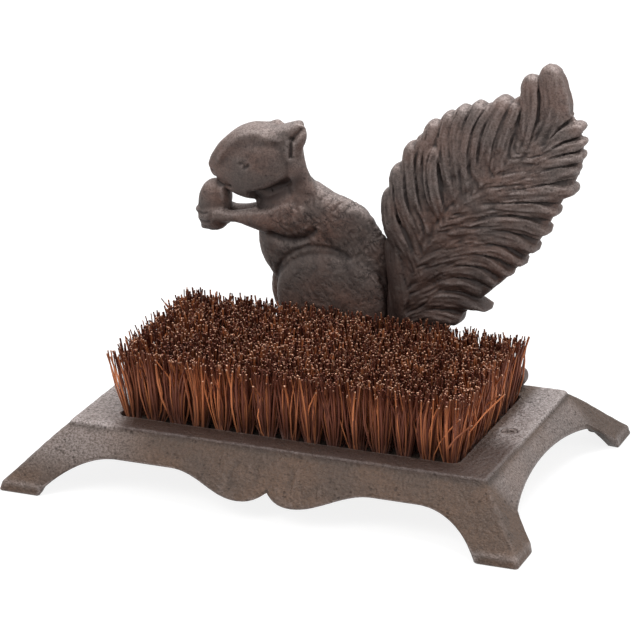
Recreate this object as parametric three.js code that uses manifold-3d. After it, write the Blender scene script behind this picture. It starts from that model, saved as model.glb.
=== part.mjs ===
// Cast-iron boot brush with a squirrel on its rear rim.
// A splayed frame on four feet holds a wooden brush block from below, and the squirrel, its nut,
// its tail and the scrolled bar that it stands on are one casting, screwed to the rear rim.
// Millimetres, +Z up. The origin is on the floor under the middle of the frame, +X runs along the
// frame towards the tail, and the front of the frame faces -Y.

import * as THREE from 'three';
import { LoftGeometry } from 'three/addons/geometries/LoftGeometry.js';
import { mergeVertices } from 'three/addons/utils/BufferGeometryUtils.js';
import Module from 'manifold-3d';

const wasm = await Module();
wasm.setup();
const { Manifold, Mesh: SolidMesh } = wasm;

// Frame: the well that the bristles fill, the flat rim round it and the splayed aprons
const WELL_LENGTH = 192.8;
const WELL_WIDTH = 107;
const WELL_CORNER = 5;
const RIM_END = 20.5;
const RIM_SIDE = 15.4;
const RIM_HEIGHT = 33;
const RIM_THICKNESS = 5;
const RIM_ROUNDING = 1.2;
const SPLAY_END = 28.1;
const SPLAY_SIDE = 31.8;
const APRON_WALL = 6.5;
const LIP_DEPTH = 3.5;
const LIP_SPLAY = 0.04;
const FRAME_CORNER = 1.8;

// Feet
const FOOT_LENGTH = 22;
const FOOT_WIDTH = 22.8;
const ANKLE_HEIGHT = 5;
const ANKLE_SPLAY = 0.96;
const TOE_ROUNDING = 0.8;

// Lower edges of the aprons, as depths below the rim and distances from the middle or from a foot
const FRONT_ARCH_DEPTH = 13.4;
const FRONT_ARCH_REACH = 38;
const LOBE_DEPTH = 22.3;
const LOBE_OFFSET = 15.3;
const CUSP_DEPTH = 17.4;
const SCROLL_HALF_LENGTH = 57;
const SCROLL_SHIFT = 3;
const SIDE_ARCH_DEPTH = 11.2;
const SIDE_ARCH_REACH = 15;
const SIDE_HAUNCH_DEPTH = 17.7;

// Brush block, tuft beds and bristles
const BLOCK_THICKNESS = 13;
const BLOCK_END_CLEARANCE = 1.4;
const BLOCK_SIDE_CLEARANCE = 6.8;
const BED_THICKNESS = 2.8;
const BED_CLEARANCE = 0.5;
const BED_COUNT = 4;
const TUFTS_LONG = 15;
const TUFTS_WIDE = 9;
const TUFT_MARGIN_END = 6.6;
const TUFT_MARGIN_SIDE = 7.6;
const TUFT_ROOT_RADIUS = 2.3;
const TUFT_TIP_RADIUS = 2.8;
const STRANDS_PER_TUFT = 3;
const STRAND_ROOT_RADIUS = 1.15;
const STRAND_TIP_RADIUS = 1.65;
const BRISTLE_HEIGHT = 35.6;
const BRISTLE_UNEVENNESS = 2.2;
const SPREAD_END = 7.2;
const SPREAD_FRONT = 4.5;
const SPREAD_REAR = 0.9;

// Squirrel casting: the scrolled bar that it stands on, measured from the rim
const BAR_HALF_LENGTH = 95.4;
const BAR_THICKNESS = 9;
const BAR_HEIGHT = 12.6;
const BAR_EDGE = 0.8;
const SCROLL_RADIUS = 5.9;
const CURL_RADIUS = 3.2;
const HAUNCH_X = -21.8;
const HAUNCH_Z = 40.5;
const HAUNCH_RADIUS = 27.5;
const HAUNCH_HALF_DEPTH = 7.6;
const FAR_LEG_STEP = 6.8;
const FIGURE_HEIGHT = 184.3;
const FIGURE_THICKNESS = 26.4;

// Screws
const BLOCK_SCREW_RADIUS = 2;
const BLOCK_SCREW_HEAD = 4.3;
const BLOCK_SCREW_LENGTH = 16;
const CROSS_WIDTH = 1.1;
const CROSS_DEPTH = 1.5;
const FIGURE_SCREW_INSET = 33.4;
const FIGURE_SCREW_RADIUS = 2;
const FIGURE_SCREW_HEAD = 3.9;
const FIGURE_SCREW_HEAD_HEIGHT = 2.6;
const FIGURE_SCREW_GRIP = 8;
const WASHER_RADIUS = 4.5;
const WASHER_THICKNESS = 0.8;

// Clearances
const SEAT_GAP = 0.2;
const SCREW_CLEARANCE = 0.3;
const BRISTLE_CLEARANCE = 0.9;

// Sizes that follow from the ones above
const RIM_HALF_LENGTH = WELL_LENGTH / 2 + RIM_END;
const RIM_HALF_WIDTH = WELL_WIDTH / 2 + RIM_SIDE;
const FOOT_INNER_X = RIM_HALF_LENGTH + SPLAY_END - FOOT_LENGTH;
const FOOT_INNER_Y = RIM_HALF_WIDTH + SPLAY_SIDE - FOOT_WIDTH;
const RIM_UNDERSIDE = RIM_HEIGHT - RIM_THICKNESS;
const BLOCK_TOP = RIM_UNDERSIDE - SEAT_GAP;
const BLOCK_SCREW_X = (WELL_LENGTH / 2 + RIM_HALF_LENGTH) / 2;
const FIGURE_Y = RIM_HALF_WIDTH - BAR_THICKNESS / 2 - 0.1;
const FIGURE_Z = RIM_HEIGHT + SEAT_GAP;
const FIGURE_SCREW_X = BAR_HALF_LENGTH - FIGURE_SCREW_INSET;
const TUFT_FIELD_X = WELL_LENGTH / 2 - TUFT_MARGIN_END;
const TUFT_FIELD_Y = WELL_WIDTH / 2 - TUFT_MARGIN_SIDE;
const TUFT_PITCH_X = 2 * TUFT_FIELD_X / (TUFTS_LONG - 1);
const TUFT_PITCH_Y = 2 * TUFT_FIELD_Y / (TUFTS_WIDE - 1);
const REAR_TIPS_Y = TUFT_FIELD_Y + TUFT_TIP_RADIUS + SPREAD_REAR + STRAND_TIP_RADIUS;
const FIGURE_REACH = FIGURE_Y - REAR_TIPS_Y - BRISTLE_CLEARANCE;

// Finishes
const IRON = { color: 0x6b5a51, roughness: 0.72, metalness: 0.55 };
const FIGURE_IRON = { color: 0x564a45, roughness: 0.7, metalness: 0.55 };
const WOOD = { color: 0x8b6b4a, roughness: 0.8, metalness: 0 };
const FIBRE = { color: 0x6e3722, roughness: 0.85, metalness: 0 };
const STEEL = { color: 0x5c5450, roughness: 0.5, metalness: 0.85 };

// Turns a closed geometry into a solid that can be joined and cut
function solid(geometry) {
  const bare = new THREE.BufferGeometry();
  bare.setAttribute('position', geometry.attributes.position);
  bare.setIndex(geometry.index);
  const merged = mergeVertices(bare, 1e-4);
  const corners = merged.index.array;
  const faces = [];
  for (let i = 0; i < corners.length; i += 3) {
    const [a, b, c] = [corners[i], corners[i + 1], corners[i + 2]];
    if (a !== b && b !== c && c !== a) {
      faces.push(a, b, c);
    }
  }
  return new Manifold(new SolidMesh({
    numProp: 3,
    vertProperties: new Float32Array(merged.attributes.position.array),
    triVerts: new Uint32Array(faces),
  }));
}

function joined(solids) {
  return solids.reduce((sum, next) => sum.add(next));
}

// Gives a solid its name, its finish and its place in the object
function piece(name, body, finish, x = 0, y = 0, z = 0) {
  const data = body.getMesh();
  const geometry = new THREE.BufferGeometry();
  geometry.setAttribute('position', new THREE.BufferAttribute(new Float32Array(data.vertProperties), 3));
  geometry.setIndex(new THREE.BufferAttribute(new Uint32Array(data.triVerts), 1));
  geometry.computeVertexNormals();
  const mesh = new THREE.Mesh(geometry, new THREE.MeshStandardMaterial(finish));
  mesh.name = name;
  mesh.position.set(x, y, z);
  return mesh;
}

function box(length, width, height, x, y, z) {
  const geometry = new THREE.BoxGeometry(length, width, height);
  geometry.translate(x, y, z + height / 2);
  return solid(geometry);
}

// A turned solid round the vertical line through x, y: profile points are [radius, height]
function turned(profile, x, y, z, segments = 16) {
  const points = profile.map(([radius, height]) => new THREE.Vector2(radius, height));
  const geometry = new THREE.LatheGeometry(points, segments);
  geometry.rotateX(Math.PI / 2);
  geometry.translate(x, y, z);
  return solid(geometry);
}

function pin(radius, low, high, x, y, segments = 16) {
  return turned([[0, low], [radius, low], [radius, high], [0, high]], x, y, 0, segments);
}

// An outline in the XZ plane pushed through from y - depth / 2 to y + depth / 2
function pushed(shape, y, depth, options = {}) {
  const { edge = 0, curveSegments = 8 } = options;
  const geometry = new THREE.ExtrudeGeometry(shape, {
    depth: depth - 2 * edge,
    bevelEnabled: edge > 0,
    bevelThickness: edge,
    bevelSize: edge,
    bevelOffset: -edge,
    bevelSegments: 1,
    curveSegments,
  });
  geometry.translate(0, 0, edge - depth / 2);
  geometry.rotateX(Math.PI / 2);
  geometry.translate(0, y, 0);
  return solid(geometry);
}

// One level ring of the frame: a rectangle with round corners, anticlockwise from above
function ring(halfLength, halfWidth, corner, height) {
  const points = [];
  const steps = 3;
  const corners = [[1, 1], [-1, 1], [-1, -1], [1, -1]];
  corners.forEach(([sx, sy], quarter) => {
    for (let i = 0; i <= steps; i += 1) {
      const angle = (quarter + i / steps) * Math.PI / 2;
      const x = sx * (halfLength - corner) + corner * Math.cos(angle);
      const y = sy * (halfWidth - corner) + corner * Math.sin(angle);
      points.push(new THREE.Vector3(x, y, height));
    }
  });
  return points;
}

// How far out the apron's outer face is at each height, from 0 at the rim to 1 at the toes
function apronProfile() {
  const lip = new THREE.Vector2(LIP_SPLAY, RIM_HEIGHT - LIP_DEPTH);
  const drop = lip.y - ANKLE_HEIGHT;
  const slope = new THREE.CubicBezierCurve(
    lip,
    new THREE.Vector2(0.3, lip.y - drop * 0.22),
    new THREE.Vector2(0.68, lip.y - drop * 0.72),
    new THREE.Vector2(ANKLE_SPLAY, ANKLE_HEIGHT),
  );
  return slope.getPoints(7);
}

function splayAt(height) {
  const profile = apronProfile();
  const below = profile.findIndex((point) => point.y <= height);
  if (below <= 0) {
    return below === 0 ? LIP_SPLAY * (RIM_HEIGHT - height) / LIP_DEPTH : 1;
  }
  const [upper, lower] = [profile[below - 1], profile[below]];
  return lower.x + (upper.x - lower.x) * (height - lower.y) / (upper.y - lower.y);
}

function frameRing(splay, inset, height) {
  return ring(
    RIM_HALF_LENGTH + splay * SPLAY_END - inset,
    RIM_HALF_WIDTH + splay * SPLAY_SIDE - inset,
    FRAME_CORNER,
    height,
  );
}

// The scalloped space under the front and rear aprons, seen along Y
function frontArch() {
  const arch = RIM_HEIGHT - FRONT_ARCH_DEPTH;
  const low = RIM_HEIGHT - LOBE_DEPTH;
  const cusp = RIM_HEIGHT - CUSP_DEPTH;
  const flatEnd = FOOT_INNER_X - FRONT_ARCH_REACH;
  const lobeIn = new THREE.CubicBezierCurve(
    new THREE.Vector2(0, cusp),
    new THREE.Vector2(LOBE_OFFSET * 0.25, low + (cusp - low) * 0.35),
    new THREE.Vector2(LOBE_OFFSET * 0.55, low),
    new THREE.Vector2(LOBE_OFFSET, low),
  );
  const lobeOut = new THREE.CubicBezierCurve(
    new THREE.Vector2(LOBE_OFFSET, low),
    new THREE.Vector2(LOBE_OFFSET + 15, low),
    new THREE.Vector2(SCROLL_HALF_LENGTH - 16, arch),
    new THREE.Vector2(SCROLL_HALF_LENGTH, arch),
  );
  const toFoot = new THREE.CubicBezierCurve(
    new THREE.Vector2(flatEnd, arch),
    new THREE.Vector2(flatEnd + FRONT_ARCH_REACH * 0.42, arch),
    new THREE.Vector2(FOOT_INNER_X - 9.5, arch * 0.58),
    new THREE.Vector2(FOOT_INNER_X - 3, arch * 0.24),
  );
  const lobe = [...lobeIn.getPoints(4), ...lobeOut.getPoints(7).slice(1)];
  const scroll = [...mirrored(lobe), ...lobe].map(({ x, y }) => new THREE.Vector2(x + SCROLL_SHIFT, y));
  const foot = [...toFoot.getPoints(7), ...toeCorner(FOOT_INNER_X)];
  return new THREE.Shape([...mirrored(foot), ...scroll, ...foot]);
}

// The single arch under each end apron, seen along X
function sideArch() {
  const top = RIM_HEIGHT - SIDE_ARCH_DEPTH;
  const haunch = RIM_HEIGHT - SIDE_HAUNCH_DEPTH;
  const haunchY = FOOT_INNER_Y - SIDE_ARCH_REACH;
  const crown = new THREE.CubicBezierCurve(
    new THREE.Vector2(0, top),
    new THREE.Vector2(haunchY * 0.4, top),
    new THREE.Vector2(haunchY * 0.74, haunch + (top - haunch) * 0.6),
    new THREE.Vector2(haunchY, haunch),
  );
  const toFoot = new THREE.CubicBezierCurve(
    new THREE.Vector2(haunchY, haunch),
    new THREE.Vector2(haunchY + SIDE_ARCH_REACH * 0.4, haunch * 0.8),
    new THREE.Vector2(FOOT_INNER_Y - 4, haunch * 0.52),
    new THREE.Vector2(FOOT_INNER_Y - 2, haunch * 0.3),
  );
  const half = [...crown.getPoints(7), ...toFoot.getPoints(4).slice(1), ...toeCorner(FOOT_INNER_Y)];
  return new THREE.Shape([...mirrored(half), ...half]);
}

// The round inner edge of a foot where it meets the floor
function toeCorner(inner) {
  return [
    new THREE.Vector2(inner - 0.8, TOE_ROUNDING * 0.7),
    new THREE.Vector2(inner + TOE_ROUNDING * 0.55, 0),
    new THREE.Vector2(inner + TOE_ROUNDING * 0.55, -5),
  ];
}

// The left half of an outline, from its right half
function mirrored(half) {
  return half.filter((point) => point.x > 0).map((point) => new THREE.Vector2(-point.x, point.y)).reverse();
}

function countersunk(radius, head, length, clearance, z) {
  const cone = head - radius;
  return turned([
    [0, -length - clearance],
    [radius * 0.45 + clearance, -length - clearance],
    [radius + clearance, -length + 3 * radius],
    [radius + clearance, -cone - 0.4],
    [head + clearance, -0.4],
    [head + clearance, clearance > 0 ? 1 : 0],
    [0, clearance > 0 ? 1 : 0],
  ], 0, 0, z);
}

function baseFrame() {
  const outer = [
    frameRing(0, RIM_ROUNDING, RIM_HEIGHT),
    frameRing(0, RIM_ROUNDING * 0.3, RIM_HEIGHT - RIM_ROUNDING * 0.3),
    frameRing(0, 0, RIM_HEIGHT - RIM_ROUNDING),
    ...apronProfile().map((point) => frameRing(point.x, 0, point.y)),
    frameRing(1, 0, TOE_ROUNDING),
    frameRing(1, TOE_ROUNDING * 0.3, TOE_ROUNDING * 0.3),
    frameRing(1, TOE_ROUNDING, 0),
  ].reverse();
  const cavityHeights = [RIM_UNDERSIDE, ...apronProfile().map((point) => point.y)
    .filter((height) => height < RIM_UNDERSIDE - 0.5), -1];
  const cavity = cavityHeights.map((height) => frameRing(splayAt(height), APRON_WALL, height)).reverse();
  let body = solid(new LoftGeometry(outer, { capStart: true, capEnd: true }));
  body = body.subtract(solid(new LoftGeometry(cavity, { capStart: true, capEnd: true })));
  const well = [-1, RIM_HEIGHT + 1].map((z) => ring(WELL_LENGTH / 2, WELL_WIDTH / 2, WELL_CORNER, z));
  body = body.subtract(solid(new LoftGeometry(well, { capStart: true, capEnd: true })));
  const through = 2 * (RIM_HALF_LENGTH + SPLAY_END) + 20;
  body = body.subtract(pushed(frontArch(), 0, through));
  body = body.subtract(pushed(sideArch(), 0, through).rotate([0, 0, 90]));
  for (const side of [-1, 1]) {
    const hole = countersunk(BLOCK_SCREW_RADIUS, BLOCK_SCREW_HEAD, BLOCK_SCREW_LENGTH, SCREW_CLEARANCE,
      RIM_HEIGHT);
    body = body.subtract(hole.translate([side * BLOCK_SCREW_X, 0, 0]));
    const x = side * FIGURE_SCREW_X;
    body = body.subtract(pin(FIGURE_SCREW_RADIUS + SCREW_CLEARANCE, 0, RIM_HEIGHT + 1, x, FIGURE_Y));
    body = body.subtract(pin(WASHER_RADIUS + SCREW_CLEARANCE, -1, RIM_UNDERSIDE, x, FIGURE_Y));
  }
  return piece('base_frame', body, IRON);
}

// Brush block: a board under the rim with a shallow bed for the tufts
const BED_HALF_LENGTH = WELL_LENGTH / 2 - BED_CLEARANCE;
const BED_HALF_WIDTH = WELL_WIDTH / 2 - BED_CLEARANCE;

function brushBlock() {
  const cavityX = RIM_HALF_LENGTH + splayAt(RIM_UNDERSIDE) * SPLAY_END - APRON_WALL;
  const cavityY = RIM_HALF_WIDTH + splayAt(RIM_UNDERSIDE) * SPLAY_SIDE - APRON_WALL;
  const length = 2 * (cavityX - BLOCK_END_CLEARANCE);
  const width = 2 * (cavityY - BLOCK_SIDE_CLEARANCE);
  const bottom = BLOCK_TOP - BLOCK_THICKNESS;
  let body = box(length, width, BLOCK_THICKNESS, 0, 0, bottom);
  const bedBottom = BLOCK_TOP - BED_THICKNESS - SEAT_GAP;
  const bedLength = 2 * (BED_HALF_LENGTH + SCREW_CLEARANCE);
  const bedWidth = 2 * (BED_HALF_WIDTH + SCREW_CLEARANCE);
  body = body.subtract(box(bedLength, bedWidth, BED_THICKNESS + 2, 0, 0, bedBottom));
  for (const side of [-1, 1]) {
    const tip = RIM_HEIGHT - BLOCK_SCREW_LENGTH - SCREW_CLEARANCE;
    body = body.subtract(pin(BLOCK_SCREW_RADIUS + SCREW_CLEARANCE, tip, BLOCK_TOP + 1,
      side * BLOCK_SCREW_X, 0));
  }
  return piece('brush_block', body, WOOD);
}

// A repeatable scatter between -1 and 1 for the strand with these two counts
function scatter(i, j, turn) {
  const wave = Math.sin(i * 12.9898 + j * 78.233 + turn * 37.719) * 43758.5453;
  return 2 * (wave - Math.floor(wave)) - 1;
}

// A stiff strand: three sides, a little wider at its cut tip, leaning by the shift of its tip
function strand(rootX, rootY, shiftX, shiftY, bottom, height, turn) {
  const geometry = new THREE.CylinderGeometry(STRAND_TIP_RADIUS, STRAND_ROOT_RADIUS, height, 3, 1);
  geometry.rotateX(Math.PI / 2);
  geometry.rotateZ(turn * Math.PI / 3);
  geometry.translate(0, 0, height / 2);
  const lean = new THREE.Matrix4().makeShear(0, 0, 0, 0, shiftX / height, shiftY / height);
  geometry.applyMatrix4(lean);
  geometry.translate(rootX, rootY, bottom);
  return solid(geometry);
}

function spread(position, margin, low, high) {
  const share = Math.min(Math.abs(position) / margin, 1) ** 6;
  return position < 0 ? -low * share : high * share;
}

// One bed: a slice of the block's face with its tufts, three strands to a tuft
function bristleBed(index, name) {
  const [first, last] = [index, index + 1].map((count) => Math.round(count * TUFTS_LONG / BED_COUNT));
  const [left, right] = [first, last].map((tuft) => THREE.MathUtils.clamp(
    (tuft - 0.5) * TUFT_PITCH_X - TUFT_FIELD_X, -BED_HALF_LENGTH, BED_HALF_LENGTH));
  const strands = [box(right - left - SEAT_GAP, 2 * BED_HALF_WIDTH, BED_THICKNESS, (left + right) / 2, 0,
    BLOCK_TOP - BED_THICKNESS)];
  const rise = BLOCK_TOP - 1;
  for (let i = first; i < last; i += 1) {
    for (let j = 0; j < TUFTS_WIDE; j += 1) {
      const x = i * TUFT_PITCH_X - TUFT_FIELD_X;
      const y = j * TUFT_PITCH_Y - TUFT_FIELD_Y;
      const outX = spread(x, TUFT_FIELD_X, SPREAD_END, SPREAD_END);
      const outY = spread(y, TUFT_FIELD_Y, SPREAD_FRONT, SPREAD_REAR);
      for (let k = 0; k < STRANDS_PER_TUFT; k += 1) {
        const angle = 2 * Math.PI * k / STRANDS_PER_TUFT + Math.PI * scatter(i, j, 0);
        const [alongX, alongY] = [Math.cos(angle), Math.sin(angle)];
        const flare = TUFT_TIP_RADIUS - TUFT_ROOT_RADIUS;
        const tip = RIM_HEIGHT + BRISTLE_HEIGHT + BRISTLE_UNEVENNESS * scatter(i, j, k + 1);
        strands.push(strand(x + TUFT_ROOT_RADIUS * alongX, y + TUFT_ROOT_RADIUS * alongY,
          outX + flare * alongX, outY + flare * alongY, rise, tip - rise, (i + j + k) % 2));
      }
    }
  }
  return piece(name, joined(strands), FIBRE);
}

// Squirrel casting. Its own frame has X along the bar, Y through it and Z up from the rim.
// The animal is drawn as a pattern of this height and thickness, then brought to its size.
const PATTERN_HEIGHT = 184.3;
const PATTERN_THICKNESS = 26.4;
const SIZE = FIGURE_HEIGHT / PATTERN_HEIGHT;
const THICKNESS = FIGURE_THICKNESS / PATTERN_THICKNESS;

function patternCurve(path, offY = 0) {
  const points = path.map(([x, z]) => new THREE.Vector3(x * SIZE, offY * THICKNESS, z * SIZE));
  return new THREE.CatmullRomCurve3(points, false, 'centripetal');
}

// A limb is a loft along a curve in the XZ plane. Each station is [x, z, half height of the
// section across the curve, half thickness along Y], and the limb may stand off to one side.
function limb(stations, sides, offY = 0, square = 2) {
  const spine = patternCurve(stations, offY);
  const sections = stations.map(([, , across, through], i) => {
    const along = i / (stations.length - 1);
    return section(spine.getPoint(along), spine.getTangent(along), across, through, sides, square);
  });
  return solid(new LoftGeometry(sections, { capStart: true, capEnd: true }));
}

// An ellipse round a point of a curve, or a boxier loop where square is above 2
function section(centre, tangent, across, through, sides, square = 2) {
  const side = new THREE.Vector3(0, 1, 0).cross(tangent).normalize();
  const depth = new THREE.Vector3().crossVectors(tangent, side);
  const bend = (value) => Math.sign(value) * Math.abs(value) ** (2 / square);
  const points = [];
  for (let i = 0; i < sides; i += 1) {
    const angle = 2 * Math.PI * (i + 0.5) / sides;
    points.push(centre.clone()
      .addScaledVector(side, SIZE * across * bend(Math.cos(angle)))
      .addScaledVector(depth, THICKNESS * through * bend(Math.sin(angle))));
  }
  return points;
}

function egg(x, y, z, radiusX, radiusY, radiusZ, around = 12, up = 8) {
  const geometry = new THREE.SphereGeometry(1, around, up);
  geometry.rotateX(Math.PI / 2);
  geometry.scale(radiusX * SIZE, radiusY * THICKNESS, radiusZ * SIZE);
  geometry.translate(x * SIZE, y * THICKNESS, z * SIZE);
  return solid(geometry);
}

// A thick round pad with a flat face and a soft rim, for a haunch. Its place and depth along Y
// come from the room behind the bristles.
function pad(x, y, z, radius, depth) {
  const profile = [[0, -1], [0.55, -0.94], [0.83, -0.76], [0.96, -0.45], [1, 0], [0.96, 0.45], [0.83, 0.76],
    [0.55, 0.94], [0, 1]].map(([share, level]) => new THREE.Vector2(share * radius * SIZE, level * depth));
  const geometry = new THREE.LatheGeometry(profile, 22);
  geometry.scale(1, 1, 0.99);
  geometry.translate(x * SIZE, y, z * SIZE);
  return solid(geometry);
}

// The bar: flat below, a large lobe and a small curl at each end
function footBar() {
  const lobeX = BAR_HALF_LENGTH - SCROLL_RADIUS;
  const curlX = lobeX - 3.2;
  const curlZ = 2 * SCROLL_RADIUS + 1.2;
  const half = [new THREE.Vector2(0, 0), new THREE.Vector2(lobeX - 2, 0)];
  for (const angle of [-75, -45, -15, 15, 45]) {
    const turn = THREE.MathUtils.degToRad(angle);
    half.push(new THREE.Vector2(lobeX + SCROLL_RADIUS * Math.cos(turn),
      SCROLL_RADIUS * (1 + Math.sin(turn)) + 0.1));
  }
  for (const angle of [-35, 10, 55, 100, 140]) {
    const turn = THREE.MathUtils.degToRad(angle);
    half.push(new THREE.Vector2(curlX + CURL_RADIUS * Math.cos(turn), curlZ + CURL_RADIUS * Math.sin(turn)));
  }
  half.push(new THREE.Vector2(curlX - 8, BAR_HEIGHT), new THREE.Vector2(curlX - 18, BAR_HEIGHT * 0.9));
  return pushed(new THREE.Shape([...mirrored(half), ...half]), 0, BAR_THICKNESS, { edge: BAR_EDGE });
}

function torso() {
  const trunk = limb([
    [-12.5, 6, 27, 5],
    [-13.5, 17, 29, 6],
    [-14.5, 28, 30.7, 6.6],
    [-16.5, 43, 31.8, 7],
    [-20, 58, 34, 7.8],
    [-23.6, 65, 35, 8.8],
    [-28, 73, 33, 9.8],
    [-36.5, 85.5, 22, 10.8],
    [-44.5, 96, 16.5, 9.4],
    [-48, 107, 11, 8],
  ], 14, 0, 2.3);
  return trunk.add(egg(-44, 0, 70, 18, 9.6, 24)).add(egg(-8.8, 0, 63.8, 25, 7.8, 25));
}

function head() {
  const skull = limb([
    [-90.2, 103.4, 2.4, 1.8],
    [-87.6, 105, 6.6, 4.6],
    [-83.8, 106.8, 10.4, 7],
    [-77.3, 109.2, 15.4, 9.4],
    [-69.5, 111.2, 19.8, 11.4],
    [-61, 113, 21, 12.2],
    [-52, 115.8, 18.8, 12],
    [-45, 117.3, 15.2, 10.6],
    [-40.5, 117.6, 11.2, 8],
    [-37.8, 117.4, 6, 5],
  ], 20, 0, 3.4);
  return skull.add(limb([[-40, 84, 17, 9], [-46, 94, 18.5, 8.8], [-50, 104, 15, 8.4], [-52, 112, 10, 7]], 12));
}

function ears() {
  const near = limb([[-42.5, 118, 8, 4], [-40.5, 126, 7.4, 4.4], [-38.2, 133, 6.2, 3.8], [-36.2, 138, 3.8, 2.6],
    [-35, 140.8, 1.4, 1.3]], 10, -6.2);
  const far = limb([[-50, 122, 9, 4], [-53.5, 130, 6, 3.2], [-54.6, 134.4, 2.6, 2]], 8, 6.5);
  return [near, far];
}

// Both arms, with the paws closed round the nut at the mouth
function arms() {
  const solids = [];
  for (const side of [-1, 1]) {
    solids.push(limb([
      [-25, 85, 6, 2.5],
      [-31, 84.5, 10.6, 5.4],
      [-40, 83.5, 11.8, 6.6],
      [-51, 81.8, 9.6, 6.2],
      [-62, 81.2, 6.2, 5.2],
      [-72, 81, 3.5, 4.1],
      [-79, 80.4, 3.5, 3.9],
      [-86, 80, 4.6, 4],
    ], 10, side * 6.6));
    solids.push(egg(-87.6, side * 4.4, 78.8, 9.2, 5.6, 8.6, 12, 8));
  }
  solids.push(egg(-88.8, 0, 84.6, 9.4, 8.6, 14.4));
  solids.push(egg(-84.6, 0, 89, 6.4, 7.2, 9.4));
  return solids;
}

// Haunches, with the long hind feet that lie along the bar
function haunches() {
  const solids = [];
  for (const side of [-1, 1]) {
    const y = side * (FIGURE_REACH - HAUNCH_HALF_DEPTH);
    const x = side < 0 ? HAUNCH_X : HAUNCH_X - FAR_LEG_STEP;
    solids.push(pad(x, y, HAUNCH_Z, HAUNCH_RADIUS, HAUNCH_HALF_DEPTH));
    solids.push(limb([
      [-20, 14, 6.4, 4],
      [-38, 14.8, 6.2, 4.6],
      [-54, 14.8, 5.4, 4.6],
      [-62, 13.6, 3.9, 3.8],
      [-65, 12.9, 2, 2],
    ], 8, side * 4.8));
  }
  return solids;
}

// Tail: a core that rises from the bar, and locks of fur that fan out from its middle.
// The core's stations give [x, z] of its middle, its front edge and its back edge, and its half depth.
function tailCore() {
  const reaches = [-0.93, -0.62, 0, 0.62, 0.93];
  const sections = [
    [23, 2, 14, 2, 32, 2, 5.5],
    [24, 28, 14.5, 32, 46, 24, 6.6],
    [25.6, 39, 14.8, 49, 55, 33.5, 6.9],
    [28, 50, 15.5, 66, 62, 43, 7],
    [32, 61, 15.4, 82, 73.5, 54, 7],
    [37, 72, 16, 98, 83, 65, 7],
    [43, 82, 19.8, 113, 90, 74.5, 7],
    [50, 92, 26, 127, 97, 84.5, 7],
    [58, 101, 37.6, 139.5, 104, 95.4, 6.8],
    [66, 110, 51, 149, 110, 106, 6.6],
    [74.6, 119, 63.8, 154.5, 115, 116.5, 6.2],
    [83, 128, 76, 157.5, 119, 127, 5.8],
    [90.4, 136.6, 84, 160.8, 120.6, 138, 5.3],
    [96, 146, 90, 166, 119.5, 148, 4.8],
    [100.6, 158, 94.4, 170.6, 115, 160, 3.9],
    [103, 172, 98, 174, 109, 170, 2.8],
  ].map(([x, z, frontX, frontZ, backX, backZ, depth]) => {
    const at = (reach, side) => {
      const far = Math.abs(reach);
      const [edgeX, edgeZ] = reach > 0 ? [backX, backZ] : [frontX, frontZ];
      const level = depth * (1 - far ** 4) ** 0.25;
      return new THREE.Vector3((x + (edgeX - x) * far) * SIZE, side * level * THICKNESS,
        (z + (edgeZ - z) * far) * SIZE);
    };
    const near = reaches.map((reach) => at(reach, -1));
    const rear = reaches.map((reach) => at(reach, 1)).reverse();
    return [at(-1, 0), ...near, at(1, 0), ...rear];
  });
  return solid(new LoftGeometry(sections, { capStart: true, capEnd: true }));
}

// Each lock is [path of x and z from root to tip, half width, half depth, how much it narrows, and
// from where along it if not from its middle]
const FRONT_LOCKS = [
  [[[27, 6], [25, 34], [20.5, 60], [18, 80]], 6.8, 8.6, 0.15],
  [[[33.5, 52], [26, 72], [18, 87], [16.5, 107]], 6.8, 9.2, 0.15],
  [[[36, 67], [28.5, 89], [23, 104], [21.5, 121]], 7.2, 9.4, 0.15],
  [[[39.5, 77.5], [32, 98], [29, 117], [29.5, 134]], 6.6, 9.2, 0.15],
  [[[43, 82], [36.5, 105.5], [34, 124], [36, 139]], 5, 8.6, 0.15],
  [[[46, 84], [40, 103], [37.5, 124], [41.5, 147.5]], 5.8, 8.8, 0.15],
  [[[50.5, 84], [43, 103.5], [40.5, 122], [45.5, 135]], 6.4, 10.6, 0.15],
  [[[54, 92], [50, 116], [47.5, 136.5], [51, 153]], 5.4, 8.6, 0.15],
  [[[58, 100.5], [55, 122], [54, 141], [59, 157]], 5.6, 8.8, 0.15],
  [[[61, 104], [58.5, 124], [60, 142], [68, 160]], 5.8, 9, 0.15],
  [[[65, 110], [64, 128], [66, 144], [74, 159]], 4.6, 8.4, 0.15],
  [[[69, 114], [71, 132], [75, 150], [82.5, 164]], 6.6, 8.6, 0.15],
  [[[76.5, 119.5], [78.5, 136], [82.5, 150], [88, 162.5]], 5.4, 7.8, 0.15],
  [[[86.5, 126.5], [91, 143], [93, 162], [92.2, 178]], 4.8, 7, 0.15],
  [[[91, 130], [96, 144], [97.5, 160], [97.2, 176.5]], 4, 6, 0.15],
  [[[97, 130], [103.5, 146], [107.2, 160], [106.2, 171], [104.2, 184.3]], 9.8, 6.6, 0.42],
];
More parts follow.
